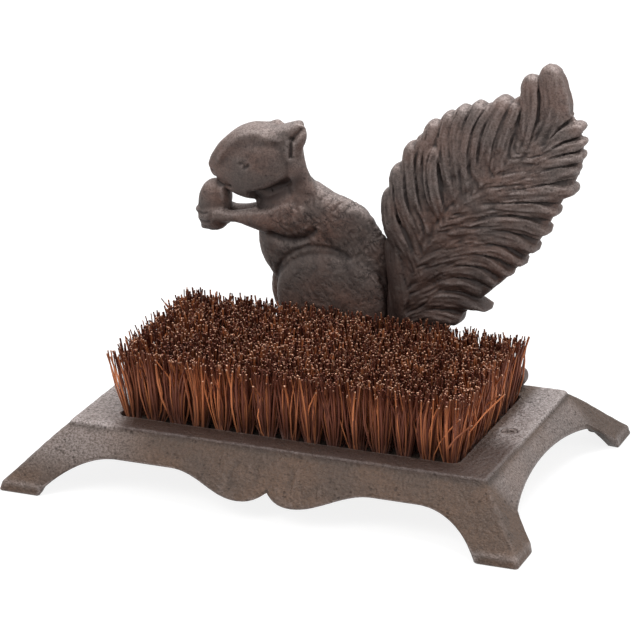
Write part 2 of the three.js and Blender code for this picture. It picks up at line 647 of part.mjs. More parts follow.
const BACK_LOCKS = [
  [[[98.5, 131], [107, 142], [115.5, 148.5], [124, 152]], 5.8, 6.8, 0.35],
  [[[94, 126.5], [105, 135], [115.5, 140.5], [125, 143.5]], 5.2, 7.2, 0.35],
  [[[87.5, 121], [102.5, 129], [114, 133.5], [124.6, 136]], 5.4, 7.8, 0.35],
  [[[81, 115.5], [99.5, 122], [112, 126.5], [121.8, 128.5]], 5.4, 8, 0.35],
  [[[73.5, 107.5], [91.5, 111.5], [109, 115], [120.8, 117]], 6.6, 8.6, 0.3],
  [[[67.5, 101], [83.5, 104], [100, 105], [111.4, 103.5]], 6, 8.6, 0.35],
  [[[59, 86], [76, 94], [92.5, 95.5], [106.5, 92]], 6.8, 9.2, 0.3],
  [[[51, 78.5], [69.5, 85.5], [87, 86.5], [100, 81]], 6.4, 9.2, 0.35],
  [[[45.5, 71], [61, 77.5], [79.5, 79], [93.2, 72.5]], 6.2, 9.2, 0.35],
  [[[41, 62], [55.5, 71], [72, 72.5], [86, 65.5]], 6, 9.2, 0.35],
  [[[38, 55], [51.5, 63.5], [66.5, 65.5], [78.5, 59.5]], 5.4, 9, 0.35],
  [[[34, 47], [47, 56], [60, 58], [71, 53.5]], 5.4, 9, 0.35],
  [[[29.5, 39], [42.5, 46], [57, 48], [72.4, 44.6]], 6.6, 9.6, 0.85, 0.74],
  [[[26, 29], [38.5, 36], [49.5, 37.5], [59, 36]], 6, 8.8, 0.3],
  [[[25, 17], [34, 24], [42, 25.5], [49.5, 24]], 6.4, 8.2, 0.3],
  [[[24, 6], [31, 12], [36, 13], [41, 11]], 6.4, 7.2, 0.3],
];
const LOCK_STATIONS = [0, 0.3, 0.6, 0.82, 0.93, 1];

// A lock rises out of the core at its root, narrows past its middle and ends in a blunt tip
function lock([path, width, depth, point, from = 0.45]) {
  const spine = patternCurve(path);
  const end = Math.min(1.25 * width * SIZE * (1 - point) / spine.getLength() + 0.03, 0.4);
  const sections = LOCK_STATIONS.map((along) => {
    const into = THREE.MathUtils.clamp((along - 1 + end) / end, 0, 1);
    const tip = Math.max(Math.sqrt(1 - into ** 2), 0.3);
    const taper = 1 - point * THREE.MathUtils.clamp((along - from) / (1 - from), 0, 1);
    const rise = THREE.MathUtils.smoothstep(along, 0, 0.5);
    const across = width * (0.6 + 0.4 * rise) * taper * tip;
    const through = depth * (0.62 + 0.38 * rise - 0.14 * along ** 2) * tip ** 0.6;
    return section(spine.getPoint(along), spine.getTangent(along), across, through, 8);
  });
  return solid(new LoftGeometry(sections, { capStart: true, capEnd: true }));
}

function tail() {
  return [tailCore(), ...FRONT_LOCKS.map(lock), ...BACK_LOCKS.map(lock)];
}

function squirrelFigure() {
  let body = joined([footBar(), torso(), head(), ...ears(), ...arms(), ...haunches(), ...tail()]);
  const reach = FIGURE_SCREW_GRIP + SCREW_CLEARANCE;
  for (const side of [-1, 1]) {
    body = body.subtract(pin(FIGURE_SCREW_RADIUS + SCREW_CLEARANCE, -1, reach, side * FIGURE_SCREW_X, 0));
  }
  return piece('squirrel_figure', body, FIGURE_IRON, 0, FIGURE_Y, FIGURE_Z);
}

// Countersunk wood screw, flush with the rim, with a cross in its head
function blockScrew(name, side) {
  let body = countersunk(BLOCK_SCREW_RADIUS, BLOCK_SCREW_HEAD, BLOCK_SCREW_LENGTH, 0, -0.1);
  const slot = 1.2 * BLOCK_SCREW_HEAD;
  body = body.subtract(box(slot, CROSS_WIDTH, CROSS_DEPTH + 1, 0, 0, -CROSS_DEPTH));
  body = body.subtract(box(CROSS_WIDTH, slot, CROSS_DEPTH + 1, 0, 0, -CROSS_DEPTH));
  return piece(name, body, STEEL, side * BLOCK_SCREW_X, 0, RIM_HEIGHT);
}

// Pan-head screw from under the rim into the bar, over a plain washer
const WASHER_TOP = RIM_UNDERSIDE - SEAT_GAP;
const HEAD_TOP = WASHER_TOP - WASHER_THICKNESS - SEAT_GAP;

function figureScrew(name, side) {
  const tip = FIGURE_Z + FIGURE_SCREW_GRIP;
  const low = HEAD_TOP - FIGURE_SCREW_HEAD_HEIGHT;
  let body = turned([
    [0, low],
    [FIGURE_SCREW_HEAD * 0.7, low],
    [FIGURE_SCREW_HEAD, low + FIGURE_SCREW_HEAD_HEIGHT * 0.5],
    [FIGURE_SCREW_HEAD, HEAD_TOP],
    [FIGURE_SCREW_RADIUS, HEAD_TOP],
    [FIGURE_SCREW_RADIUS, tip - 0.6],
    [FIGURE_SCREW_RADIUS - 0.5, tip],
    [0, tip],
  ], 0, 0, 0);
  const slot = 1.2 * FIGURE_SCREW_HEAD;
  body = body.subtract(box(slot, CROSS_WIDTH, CROSS_DEPTH + 1, 0, 0, low - 1));
  body = body.subtract(box(CROSS_WIDTH, slot, CROSS_DEPTH + 1, 0, 0, low - 1));
  return piece(name, body, STEEL, side * FIGURE_SCREW_X, FIGURE_Y, 0);
}

function figureWasher(name, side) {
  const inner = FIGURE_SCREW_RADIUS + SCREW_CLEARANCE;
  const disc = pin(WASHER_RADIUS, WASHER_TOP - WASHER_THICKNESS, WASHER_TOP, 0, 0);
  const body = disc.subtract(pin(inner, WASHER_TOP - WASHER_THICKNESS - 1, WASHER_TOP + 1, 0, 0));
  return piece(name, body, STEEL, side * FIGURE_SCREW_X, FIGURE_Y, 0);
}

const bootBrush = new THREE.Group();
bootBrush.name = 'boot_brush';
bootBrush.add(baseFrame());
bootBrush.add(brushBlock());
['left_end', 'left_middle', 'right_middle', 'right_end'].forEach((place, index) => {
  bootBrush.add(bristleBed(index, `bristle_bed_${place}`));
});
bootBrush.add(squirrelFigure());
[['left', -1], ['right', 1]].forEach(([word, side]) => {
  bootBrush.add(blockScrew(`block_screw_${word}`, side));
  bootBrush.add(figureScrew(`figure_screw_${word}`, side));
  bootBrush.add(figureWasher(`figure_washer_${word}`, side));
});

export default bootBrush;
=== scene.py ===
"""Visual model of a cast-iron boot brush with a squirrel on its rear rim.

Sizes are in millimetres until a mesh is made, and every shape is a surface of two parameters, or a
profile carried along a path, worked out as whole numpy arrays. The casting of the squirrel is drawn in
its own frame: x along the rear rim, y away from the bristles, z up from the rim.
"""

import logging
import math
from dataclasses import dataclass, field
from enum import Enum
from typing import Callable, Sequence, Union

import bpy
import numpy as np
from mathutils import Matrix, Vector

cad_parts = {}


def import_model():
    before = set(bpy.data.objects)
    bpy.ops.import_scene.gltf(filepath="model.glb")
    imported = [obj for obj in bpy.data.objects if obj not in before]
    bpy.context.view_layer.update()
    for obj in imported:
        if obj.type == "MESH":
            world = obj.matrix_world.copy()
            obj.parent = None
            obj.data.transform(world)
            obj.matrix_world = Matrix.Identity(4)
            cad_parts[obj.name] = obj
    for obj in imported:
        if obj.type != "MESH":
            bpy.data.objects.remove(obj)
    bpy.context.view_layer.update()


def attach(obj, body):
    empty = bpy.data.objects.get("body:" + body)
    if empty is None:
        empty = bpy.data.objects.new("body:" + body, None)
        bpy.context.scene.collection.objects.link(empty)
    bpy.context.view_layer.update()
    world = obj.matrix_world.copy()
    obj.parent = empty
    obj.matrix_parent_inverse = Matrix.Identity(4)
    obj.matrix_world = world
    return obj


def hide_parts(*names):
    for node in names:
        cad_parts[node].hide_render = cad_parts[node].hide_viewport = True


log = logging.getLogger("boot_brush")

MM = 0.001
RIM_TOP = 33.0
RIM_UNDERSIDE = 28.0
RIM_SCREW_X = 106.65
# Half length, half width and corner radius of the well
WELL = (96.4, 53.5, 5.0)
FIGURE_PLACE = (0.0, 64.3, 33.2)

Array = np.ndarray
Pair = tuple[float, float]
Triple = tuple[float, float, float]
Colour = tuple[float, float, float]
# x and y of the stations on one ring of the frame, and a height for all or for each
Ring = Sequence[Array]
Level = Union[Array, float]
# What the sums of a shader take
Term = Union["Value", float]


class Slot(Enum):
    """The record's material slots."""

    FRAME = "frame_iron"
    FIGURE = "figure_iron"
    WOOD = "block_wood"
    FIBRE = "bristle"
    STEEL = "screw_steel"


class Side(Enum):
    """The two ends of the brush, by their sign along X."""

    LEFT = -1
    RIGHT = 1


class Skin(Enum):
    """The kinds of row in the frame's section, where the cast skin and the relief differ."""

    HIDDEN = 0
    RIM = 1
    APRON = 2


# Numbers and curves


def smoothstep(low: float, high: float, value: Array) -> Array:
    """A soft step: 0 below low, 1 above high, and 3t^2 - 2t^3 between them.

    Args:
        low: Where the step starts.
        high: Where the step ends.
        value: The numbers to step.

    Returns:
        The stepped numbers.
    """
    t = np.clip((value - low) / (high - low), 0.0, 1.0)
    return t * t * (3.0 - 2.0 * t)


def bump(distance: Array, width: float) -> Array:
    """A bell of height 1 that falls off over width: exp(-(distance / width)^2)."""
    return np.exp(-((distance / width) ** 2))


def curve_through(stations: Sequence[Sequence[float]], count: int) -> Array:
    """A smooth curve through stations: a cubic blend of each station and its two neighbours' slope.

    Args:
        stations: Rows of numbers, one row a station, any width.
        count: How many rows to give back, evenly spaced between the stations.

    Returns:
        An array of count rows.
    """
    p = np.asarray(stations, float)
    p = np.vstack([2 * p[0] - p[1], p, 2 * p[-1] - p[-2]])
    at = np.linspace(0.0, len(stations) - 1.0, count)
    k = np.minimum(at.astype(int), len(stations) - 2)
    t = (at - k)[:, None]
    a, b, c, d = p[k], p[k + 1], p[k + 2], p[k + 3]
    return 0.5 * (2 * b + (c - a) * t + (2 * a - 5 * b + 4 * c - d) * t**2 + (3 * b - a - 3 * c + d) * t**3)


def stations_between(stops: Sequence[float], counts: Sequence[int]) -> Array:
    """Numbers from the first stop to the last, each run between two stops cut evenly by its count."""
    runs = [np.linspace(low, high, n, endpoint=False) for low, high, n in zip(stops, stops[1:], counts)]
    return np.append(np.concatenate(runs), stops[-1])


def bezier(points: Sequence[Sequence[float]], count: int) -> Array:
    """A cubic curve by its four control points: the usual weights (1-t)^3, 3t(1-t)^2, 3t^2(1-t), t^3.

    Args:
        points: The control points.
        count: How many rows to give back.

    Returns:
        An array of count rows.
    """
    t = np.linspace(0.0, 1.0, count)[:, None]
    a, b, c, d = np.asarray(points, float)
    return (1 - t) ** 3 * a + 3 * t * (1 - t) ** 2 * b + 3 * t**2 * (1 - t) * c + t**3 * d


def hashed(cells: Array, seed: int) -> Array:
    """A repeatable scatter from -1 to 1 for whole-number cells: the fraction of a large sine."""
    wave = np.sin(cells @ np.array([127.1, 311.7, 74.7])[: cells.shape[-1]] + seed * 19.19) * 43758.5453
    return 2.0 * (wave - np.floor(wave)) - 1.0


def noise(points: Array, seed: int) -> Array:
    """Soft noise from -1 to 1: scattered values on a unit grid, blended by smoothstep weights.

    Args:
        points: An array whose last axis is 2 or 3 coordinates, in grid cells.
        seed: Picks another pattern.

    Returns:
        One number for each point.
    """
    cell = np.floor(points)
    part = points - cell
    part = part * part * (3.0 - 2.0 * part)
    width = points.shape[-1]
    total = np.zeros(points.shape[:-1])
    for corner in np.ndindex(*([2] * width)):
        offset = np.array(corner)
        weight = np.prod(np.where(offset == 1, part, 1.0 - part), axis=-1)
        total += weight * hashed(cell + offset, seed)
    return total


def layered_noise(points: Array, seed: int) -> Array:
    """Three layers of noise, each at twice the scale and half the height of the last, over their sum."""
    return sum(noise(points * 2**i, seed + i) / 2**i for i in range(3)) / 1.75


def path_distance(points: Array, path: Array) -> tuple[Array, Array]:
    """The distance from each point to a path of straight runs, and how far along it the nearest place is.

    Args:
        points: An array of rows of 2 numbers.
        path: The path's corners, in rows of 2.

    Returns:
        The distances, and the share of the path, from 0 to 1, at the nearest place.
    """
    start, run = path[:-1], np.diff(path, axis=0)
    best = np.full(len(points), 1e9)
    share = np.zeros(len(points))
    for i, (p, d) in enumerate(zip(start, run)):
        t = np.clip(((points - p) @ d) / max(d @ d, 1e-9), 0.0, 1.0)
        far = np.linalg.norm(points - p - t[:, None] * d, axis=1)
        nearer = far < best
        best = np.where(nearer, far, best)
        share = np.where(nearer, (i + t) / len(run), share)
    return best, share


def path_side(points: Array, path: Array) -> tuple[Array, Array, Array]:
    """The distance to a path, and on which side of it each point lies.

    Args:
        points: An array of rows of 2 numbers.
        path: The path's corners, in rows of 2.

    Returns:
        The distances, the share of the path at the nearest place, and the distances with a sign: above 0 on
        the left of the way along the path.
    """
    far, share = path_distance(points, path)
    runs = len(path) - 1
    index = np.minimum((share * runs).astype(int), runs - 1)
    run = np.diff(path, axis=0)[index]
    from_start = points - path[index]
    return far, share, np.sign(run[:, 0] * from_start[:, 1] - run[:, 1] * from_start[:, 0]) * far


# Surfaces


@dataclass
class Surface:
    """Vertices in millimetres and faces of three or four corners, with one number a vertex for each mark."""

    vertices: Array
    faces: list[Array]
    marks: dict[str, Array] = field(default_factory=dict)

    def triangles(self) -> Array:
        """The faces as triangles, each four-cornered one cut along a diagonal.

        Returns:
            Rows of three vertex numbers.
        """
        parts = []
        for block in self.faces:
            parts.append(block[:, :3])
            if block.shape[1] == 4:
                parts.append(block[:, [0, 2, 3]])
        return np.vstack(parts)

    def facing_out(self) -> "Surface":
        """The surface with its faces turned so that it holds a positive volume.

        Returns:
            The same surface.
        """
        a, b, c = (self.vertices[self.triangles()[:, i]] for i in range(3))
        if np.einsum("ij,ij->i", a, np.cross(b, c)).sum() < 0:
            self.faces = [block[:, ::-1] for block in self.faces]
        return self

    def normals(self) -> Array:
        """Each vertex's outward direction: the sum of the normals of the triangles around it.

        Returns:
            One direction of length 1 for each vertex.
        """
        corners = self.triangles()
        a, b, c = (self.vertices[corners[:, i]] for i in range(3))
        across = np.cross(b - a, c - a)
        total = np.zeros_like(self.vertices)
        for axis in range(3):
            for i in range(3):
                total[:, axis] += np.bincount(corners[:, i], across[:, axis], len(self.vertices))
        return total / np.maximum(np.linalg.norm(total, axis=1, keepdims=True), 1e-12)

    def hollows(self, spread: int) -> Array:
        """How far each vertex lies below the softened surface, in mm: above 0 in a hollow.

        Args:
            spread: How often the surface is averaged over its neighbours before it is compared.

        Returns:
            One number for each vertex.
        """
        corners = self.triangles()
        one = np.concatenate([corners[:, 0], corners[:, 1], corners[:, 2]])
        two = np.concatenate([corners[:, 1], corners[:, 2], corners[:, 0]])
        count = np.maximum(np.bincount(one, minlength=len(self.vertices)), 1)[:, None]

        def mean(values: Array) -> Array:
            """The mean of each column over each vertex's neighbours."""
            columns = [np.bincount(one, column[two], len(self.vertices)) for column in values.T]
            return np.stack(columns, axis=1) / count

        soft = self.vertices
        for _ in range(spread):
            soft = 0.3 * soft + 0.7 * mean(soft)
        depth = np.einsum("ij,ij->i", soft - self.vertices, self.normals())[:, None]
        for _ in range(2):
            depth = 0.4 * depth + 0.6 * mean(depth)
        return depth[:, 0]

    def shifted(self, place: Sequence[float]) -> "Surface":
        """The surface moved by x, y and z."""
        self.vertices = self.vertices + np.asarray(place)
        return self


def joined(surfaces: Sequence[Surface]) -> Surface:
    """Several surfaces as one, with the marks that they all carry.

    Args:
        surfaces: The surfaces.

    Returns:
        The one surface.
    """
    offset = 0
    faces = []
    for one in surfaces:
        faces += [block + offset for block in one.faces]
        offset += len(one.vertices)
    marks = {
        name: np.concatenate([one.marks[name] for one in surfaces])
        for name in surfaces[0].marks
        if all(name in one.marks for one in surfaces)
    }
    return Surface(np.vstack([one.vertices for one in surfaces]), faces, marks)


def grid_faces(rows: int, columns: int, row_loop: bool = False) -> Array:
    """Four-cornered faces between the neighbours of a grid of rows by columns, each row closed round.

    Args:
        rows: How many rows.
        columns: How many columns.
        row_loop: Whether the last row joins the first.

    Returns:
        Rows of four vertex numbers.
    """
    runs = rows if row_loop else rows - 1
    i, j = (part.ravel() for part in np.meshgrid(np.arange(runs), np.arange(columns), indexing="ij"))
    near, far = i * columns, ((i + 1) % rows) * columns
    k = (j + 1) % columns
    return np.stack([near + j, near + k, far + k, far + j], axis=1)


def tube_of_rings(rings: Array) -> Surface:
    """A closed tube from rings of points, each end closed by a fan round the ring's middle.

    Args:
        rings: An array of rings by points by 3.

    Returns:
        The surface, facing out.
    """
    rows, columns, _ = rings.shape
    vertices = np.vstack([rings.reshape(-1, 3), rings[0].mean(axis=0), rings[-1].mean(axis=0)])
    j = np.arange(columns)
    k = (j + 1) % columns
    first = np.stack([np.full(columns, rows * columns), k, j], axis=1)
    end = (rows - 1) * columns
    last = np.stack([np.full(columns, rows * columns + 1), end + j, end + k], axis=1)
    return Surface(vertices, [grid_faces(rows, columns), first, last]).facing_out()


def turned(profile: Sequence[Sequence[float]], segments: int, dent: Callable[[Array, Array], Array]) -> Surface:
    """A profile of radius and height turned round the Z axis, with its upper face dented.

    Args:
        profile: Rows of radius and height, from the top middle outwards and down.
        segments: How many columns go round.
        dent: Gives a depth for each x and y. It is taken off the height of the rows above the edge.

    Returns:
        The closed surface.
    """
    rows = np.asarray(profile, float)
    angle = np.linspace(0.0, 2.0 * math.pi, segments, endpoint=False)
    x = rows[:, :1] * np.cos(angle)
    y = rows[:, :1] * np.sin(angle)
    upper = (np.arange(len(rows)) <= int(np.argmax(rows[:, 0])))[:, None]
    z = rows[:, 1:] - dent(x, y) * upper
    return tube_of_rings(np.stack([x, y, z], axis=2))


def rounded_rings(half_x: float, half_y: float, radius: float, profile: Array, per_corner: int = 8) -> Array:
    """Level rectangles with round corners, stacked: the profile gives each ring's inset and height.

    Args:
        half_x: Half the length.
        half_y: Half the width.
        radius: The corners' radius.
        profile: Rows of inset and height.
        per_corner: How many points round a corner.

    Returns:
        An array of rings by points by 3.
    """
    angle = (np.arange(4)[:, None] + np.linspace(0, 1, per_corner)[None, :]).ravel() * math.pi / 2
    sign_x = np.repeat([1, -1, -1, 1], per_corner)
    sign_y = np.repeat([1, 1, -1, -1], per_corner)
    inset, height = profile[:, :1], profile[:, 1:]
    corner = np.maximum(radius - inset, 0.4)
    x = sign_x * (half_x - inset - corner) + corner * np.cos(angle)
    y = sign_y * (half_y - inset - corner) + corner * np.sin(angle)
    return np.stack([x, y, np.broadcast_to(height, x.shape)], axis=2)


def linked(name: str, data: bpy.types.ID) -> bpy.types.Object:
    """A new object in the scene.

    Args:
        name: Its name.
        data: Its mesh, lamp or camera.

    Returns:
        The object.
    """
    made = bpy.data.objects.new(name, data)
    bpy.context.scene.collection.objects.link(made)
    return made


def to_object(name: str, surface: Surface, slot: Slot) -> bpy.types.Object:
    """Puts a surface into the scene as a smooth mesh that rides with the brush.

    Args:
        name: The piece's name.
        surface: Its surface, in millimetres.
        slot: The material slot of the record. It is not used.

    Returns:
        The new object, at the origin.
    """
    mesh = bpy.data.meshes.new(name)
    vertices = np.ascontiguousarray(surface.vertices * MM, dtype=np.float32)
    mesh.vertices.add(len(vertices))
    mesh.vertices.foreach_set("co", vertices.ravel())
    corners = np.concatenate([block.ravel() for block in surface.faces]).astype(np.int32)
    sizes = np.concatenate([np.full(len(block), block.shape[1]) for block in surface.faces])
    starts = np.concatenate([[0], np.cumsum(sizes)[:-1]]).astype(np.int32)
    mesh.loops.add(len(corners))
    mesh.loops.foreach_set("vertex_index", corners)
    mesh.polygons.add(len(sizes))
    mesh.polygons.foreach_set("loop_start", starts)
    for mark, values in surface.marks.items():
        layer = mesh.attributes.new(mark, "FLOAT", "POINT")
        layer.data.foreach_set("value", np.ascontiguousarray(values, dtype=np.float32))
    mesh.update(calc_edges=True)
    mesh.validate()
    mesh.polygons.foreach_set("use_smooth", np.ones(len(mesh.polygons), dtype=bool))
    piece = linked(name, mesh)
    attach(piece, "root")
    log.info("%s: %d triangles", name, len(surface.triangles()))
    return piece


def passing_object(name: str, surface: Surface) -> bpy.types.Object:
    """A surface as a bare object, for modifiers to work with.

    Args:
        name: The object's name.
        surface: Its surface, in millimetres.

    Returns:
        The object.
    """
    mesh = bpy.data.meshes.new(name)
    faces = [tuple(row) for block in surface.faces for row in block.tolist()]
    mesh.from_pydata((surface.vertices * MM).tolist(), [], faces)
    return linked(name, mesh)


def discard(passing: bpy.types.Object) -> None:
    """Removes an object and its mesh.

    Args:
        passing: The object.
    """
    mesh = passing.data
    bpy.data.objects.remove(passing)
    bpy.data.meshes.remove(mesh)


def read_out(items: bpy.types.bpy_prop_collection, key: str, kind: type, width: int = 1) -> Array:
    """One property of all the items of a mesh.

    Args:
        items: The mesh's vertices, loops or faces.
        key: The property's name.
        kind: The type of its numbers.
        width: How many numbers each item has.

    Returns:
        The numbers in one row.
    """
    values = np.empty(len(items) * width, dtype=kind)
    items.foreach_get(key, values)
    return values


def evaluated(surface: Surface, modify: Callable[[bpy.types.Object], None]) -> Surface:
    """A surface as Blender's modifiers leave it.

    Args:
        surface: The surface to start from.
        modify: Adds the modifiers to a passing object.

    Returns:
        The resulting surface, in millimetres.
    """
    passing = passing_object("passing", surface)
    modify(passing)
    result = passing.evaluated_get(bpy.context.evaluated_depsgraph_get())
    made = result.to_mesh()
    vertices = read_out(made.vertices, "co", np.float32, 3)
    corners = read_out(made.loops, "vertex_index", np.int32)
    starts = read_out(made.polygons, "loop_start", np.int32)
    sizes = read_out(made.polygons, "loop_total", np.int32)
    blocks = [corners[starts[sizes == n][:, None] + np.arange(n)] for n in (3, 4) if (sizes == n).any()]
    result.to_mesh_clear()
    discard(passing)
    return Surface(vertices.reshape(-1, 3).astype(float) / MM, blocks)


# Shader maths


class Value:
    """A socket of a shader tree that takes part in sums: each operator adds a Math node."""

    def __init__(self, nodes: "Nodes", socket: bpy.types.NodeSocket) -> None:
        """Wraps a socket of those nodes."""
        self.nodes = nodes
        self.socket = socket

    def _math(self, operation: str, *inputs: Term) -> "Value":
        """The result of a Math node on these inputs."""
        return self.nodes.node("ShaderNodeMath", {"operation": operation}, dict(enumerate(inputs)))[0]

    def __add__(self, other: Term) -> "Value":
        """self + other."""
        return self._math("ADD", self, other)

    __radd__ = __add__

    def __sub__(self, other: Term) -> "Value":
        """self - other."""
        return self._math("SUBTRACT", self, other)

    def __rsub__(self, other: float) -> "Value":
        """other - self."""
        return self._math("SUBTRACT", other, self)

    def __mul__(self, other: Term) -> "Value":
        """self * other."""
        return self._math("MULTIPLY", self, other)

    __rmul__ = __mul__

    def larger(self, other: "Value") -> "Value":
        """The larger of the two."""
        return self._math("MAXIMUM", self, other)

    def step(self, low: float, high: float) -> "Value":
        """A smooth step of this value from 0 at low to 1 at high."""
        settings = {"interpolation_type": "SMOOTHSTEP"}
        return self.nodes.node("ShaderNodeMapRange", settings, {"Value": self, 1: low, 2: high})[0]


class Nodes:
    """A shader's tree of nodes, and the means to build on it."""

    def __init__(self, tree: bpy.types.NodeTree) -> None:
        """Takes up a tree."""
        self.tree = tree

    def node(self, kind: str, settings: dict, inputs: dict) -> list[Value]:
        """Adds any node.

        Args:
            kind: The node's type name.
            settings: Its properties, set before its sockets.
            inputs: A value or a link for each socket, by the socket's name or number.

        Returns:
            The node's outputs.
        """
        made = self.tree.nodes.new(kind)
        for key, setting in settings.items():
            setattr(made, key, setting)
        for key, given in inputs.items():
            if isinstance(given, Value):
                self.tree.links.new(given.socket, made.inputs[key])
            else:
                made.inputs[key].default_value = given
        return [Value(self, socket) for socket in made.outputs if socket.enabled]

    def seen_as_background(self) -> Value:
        """1 on rays from the camera, off a glossy face or through a clear one, and 0 on those that light."""
        path = self.node("ShaderNodeLightPath", {}, {})
        return path[0].larger(path[3]).larger(path[6])


class Finish(Nodes):
    """A procedural material with one glossy shader."""

    def __init__(self, name: str, metallic: float = 0.0) -> None:
        """Starts a material.

        Args:
            name: The material's name.
            metallic: How much of a metal it is, all over.
        """
        self.material = bpy.data.materials.new(name)
        self.material.use_nodes = True
        super().__init__(self.material.node_tree)
        self.shader = self.tree.nodes["Principled BSDF"]
        self.shader.inputs["Metallic"].default_value = metallic

    def place(self) -> Value:
        """The point's place in the object's own frame."""
        return self.node("ShaderNodeTexCoord", {}, {})[3]

    def mark(self, name: str) -> Value:
        """A number that the mesh carries at each vertex."""
        return self.node("ShaderNodeAttribute", {"attribute_name": name}, {})[2]

    def cloud(
        self, scale: float, detail: float = 2.0, roughness: float = 0.5, at: Union[Value, None] = None
    ) -> Value:
        """Noise from about 0 to 1.

        Args:
            scale: Cells to the metre.
            detail: How many finer layers it has.
            roughness: How strong the finer layers are.
            at: The coordinates, or nothing for the object's own.

        Returns:
            The noise.
        """
        inputs = {"Vector": at or self.place(), "Scale": scale, "Detail": detail, "Roughness": roughness}
        return self.node("ShaderNodeTexNoise", {}, inputs)[0]

    def blend(self, share: Term, low: Union[Value, Colour], high: Union[Value, Colour]) -> Value:
        """A colour between two, by a share from 0 to 1."""
        rgba = [(*c, 1.0) if isinstance(c, tuple) else c for c in (low, high)]
        return self.node("ShaderNodeMix", {"data_type": "RGBA"}, {0: share, 6: rgba[0], 7: rgba[1]})[0]

    def stretched(self, scale: Sequence[float]) -> Value:
        """The object's own coordinates, with each axis scaled."""
        return self.node("ShaderNodeMapping", {}, {"Vector": self.place(), "Scale": scale})[0]

    def wear_into(self, colour: Value, roughness: Value) -> None:
        """Leads a colour and a roughness into the shader."""
        self.tree.links.new(colour.socket, self.shader.inputs["Base Color"])
        self.tree.links.new(roughness.socket, self.shader.inputs["Roughness"])

    def raise_by(self, height: Value, depth: float) -> None:
        """Roughens the surface by a height from 0 to 1, times a depth in metres."""
        normal = self.node("ShaderNodeBump", {}, {"Strength": 1.0, "Distance": depth, "Height": height})[0]
        self.tree.links.new(normal.socket, self.shader.inputs["Normal"])


def colour(red: int, green: int, blue: int) -> Colour:
    """A colour by its screen numbers from 0 to 255, in the linear numbers that shaders take."""
    parts = [c / 255.0 for c in (red, green, blue)]
    return tuple(c / 12.92 if c <= 0.04045 else ((c + 0.055) / 1.055) ** 2.4 for c in parts)


@dataclass(frozen=True)
class AntiqueIron:
    """Cast iron with a browned antique coat: cloudy colour, sand grain, dark pits and rubbed edges."""

    name: str
    dark: Colour
    middle: Colour
    warm: Colour
    # The colour of worn edges and of painted light
    worn_and_lit: Colour
    roughness: float = 0.6
    grain_depth: float = 0.00035
    pits: float = 0.55
    patchy: float = 0.45
    worn: float = 1.0
    speckle: float = 0.35
    pebbled: float = 0.0
    # The colour of the painted shade
    shade_colour: Colour = (0.012, 0.007, 0.006)

    def material(self) -> bpy.types.Material:
        """Builds the material. The mesh may carry marks from 0 to 1: painted shade in the hollows, worn edges,
        pale places with painted light, painted shade on the rim and the figure, and the coat's hairlines.

        Returns:
            The material.
        """
        make = Finish(self.name, metallic=0.25)
        cloudy = make.cloud(38.0, 3.0).step(0.36, 0.64)
        patches = make.cloud(150.0, 3.0).step(0.42, 0.66)
        grain = make.cloud(950.0, 3.0, 0.65)
        fine = make.cloud(2600.0, 2.0, 0.6)
        cells = make.node("ShaderNodeTexVoronoi", {}, {"Vector": make.place(), "Scale": 330.0})[0]
        pit = (1.0 - cells.step(0.12, 0.34)) * make.cloud(90.0, 2.0).step(0.47, 0.62)
        body = make.blend(cloudy, self.middle, self.warm)
        body = make.blend(patches * self.patchy, body, self.dark)
        # Painted shade of the bristles on the rim's front strip, and a darker front right corner
        body = make.blend(make.mark("rim_shade") * 0.92, body, self.shade_colour)
        # Painted light on the pale places: sheen on the rim's ends and lighter upper faces of the figure; the
        # end aprons are paler too
        body = make.blend(make.mark("pale") * (0.45 + 0.55 * grain.step(0.35, 0.6)), body, self.worn_and_lit)
        body = make.blend((1.0 - grain.step(0.3, 0.62)) * self.speckle, body, self.dark)
        edge = make.mark("edge")
        body = make.blend(edge * self.worn * (0.35 + 0.65 * grain.step(0.35, 0.6)), body, self.worn_and_lit)
        # Painted shade in the hollows
        body = make.blend(make.mark("hollow") * 0.85, body, self.dark)
        # Painted shade under the jaw, between the figure's parts and towards its foot
        body = make.blend(make.mark("shade") * 0.8, body, self.shade_colour)
        body = make.blend(pit * self.pits, body, self.dark)
        hair = self.hairlines(make)
        body = make.blend(hair * 0.75, body, self.dark)
        rough = self.roughness + 0.22 * (fine - 0.5) + 0.12 * pit - 0.1 * edge
        make.wear_into(body, rough)
        pebbles = make.cloud(480.0, 1.0) * self.pebbled
        make.raise_by(0.5 * grain + 0.35 * fine + pebbles - 0.7 * pit - 0.9 * hair, self.grain_depth)
        return make.material

    def hairlines(self, make: Finish) -> Value:
        """Short dark lines along the coat's lie, where the mark coat is above 0: the middle values of noise.

        Args:
            make: The material under way.

        Returns:
            The lines, from 0 to 1.
        """
        settings = {"vector_type": "TEXTURE"}
        turn = (0.0, math.radians(50.0), 0.0)
        drawn = {"Vector": make.place(), "Rotation": turn, "Scale": (0.0052, 0.012, 0.0022)}
        lie = make.node("ShaderNodeMapping", settings, drawn)[0]
        inputs = {"Vector": lie, "Scale": 1.0, "Detail": 2.0, "Roughness": 0.5, "Distortion": 1.4}
        middle = make.node("ShaderNodeTexNoise", {}, inputs)[0] - 0.5
        line = 1.0 - middle.larger(0.0 - middle).step(0.0, 0.05)
        return line * make.cloud(170.0, 1.0).step(0.44, 0.56) * make.mark("coat")


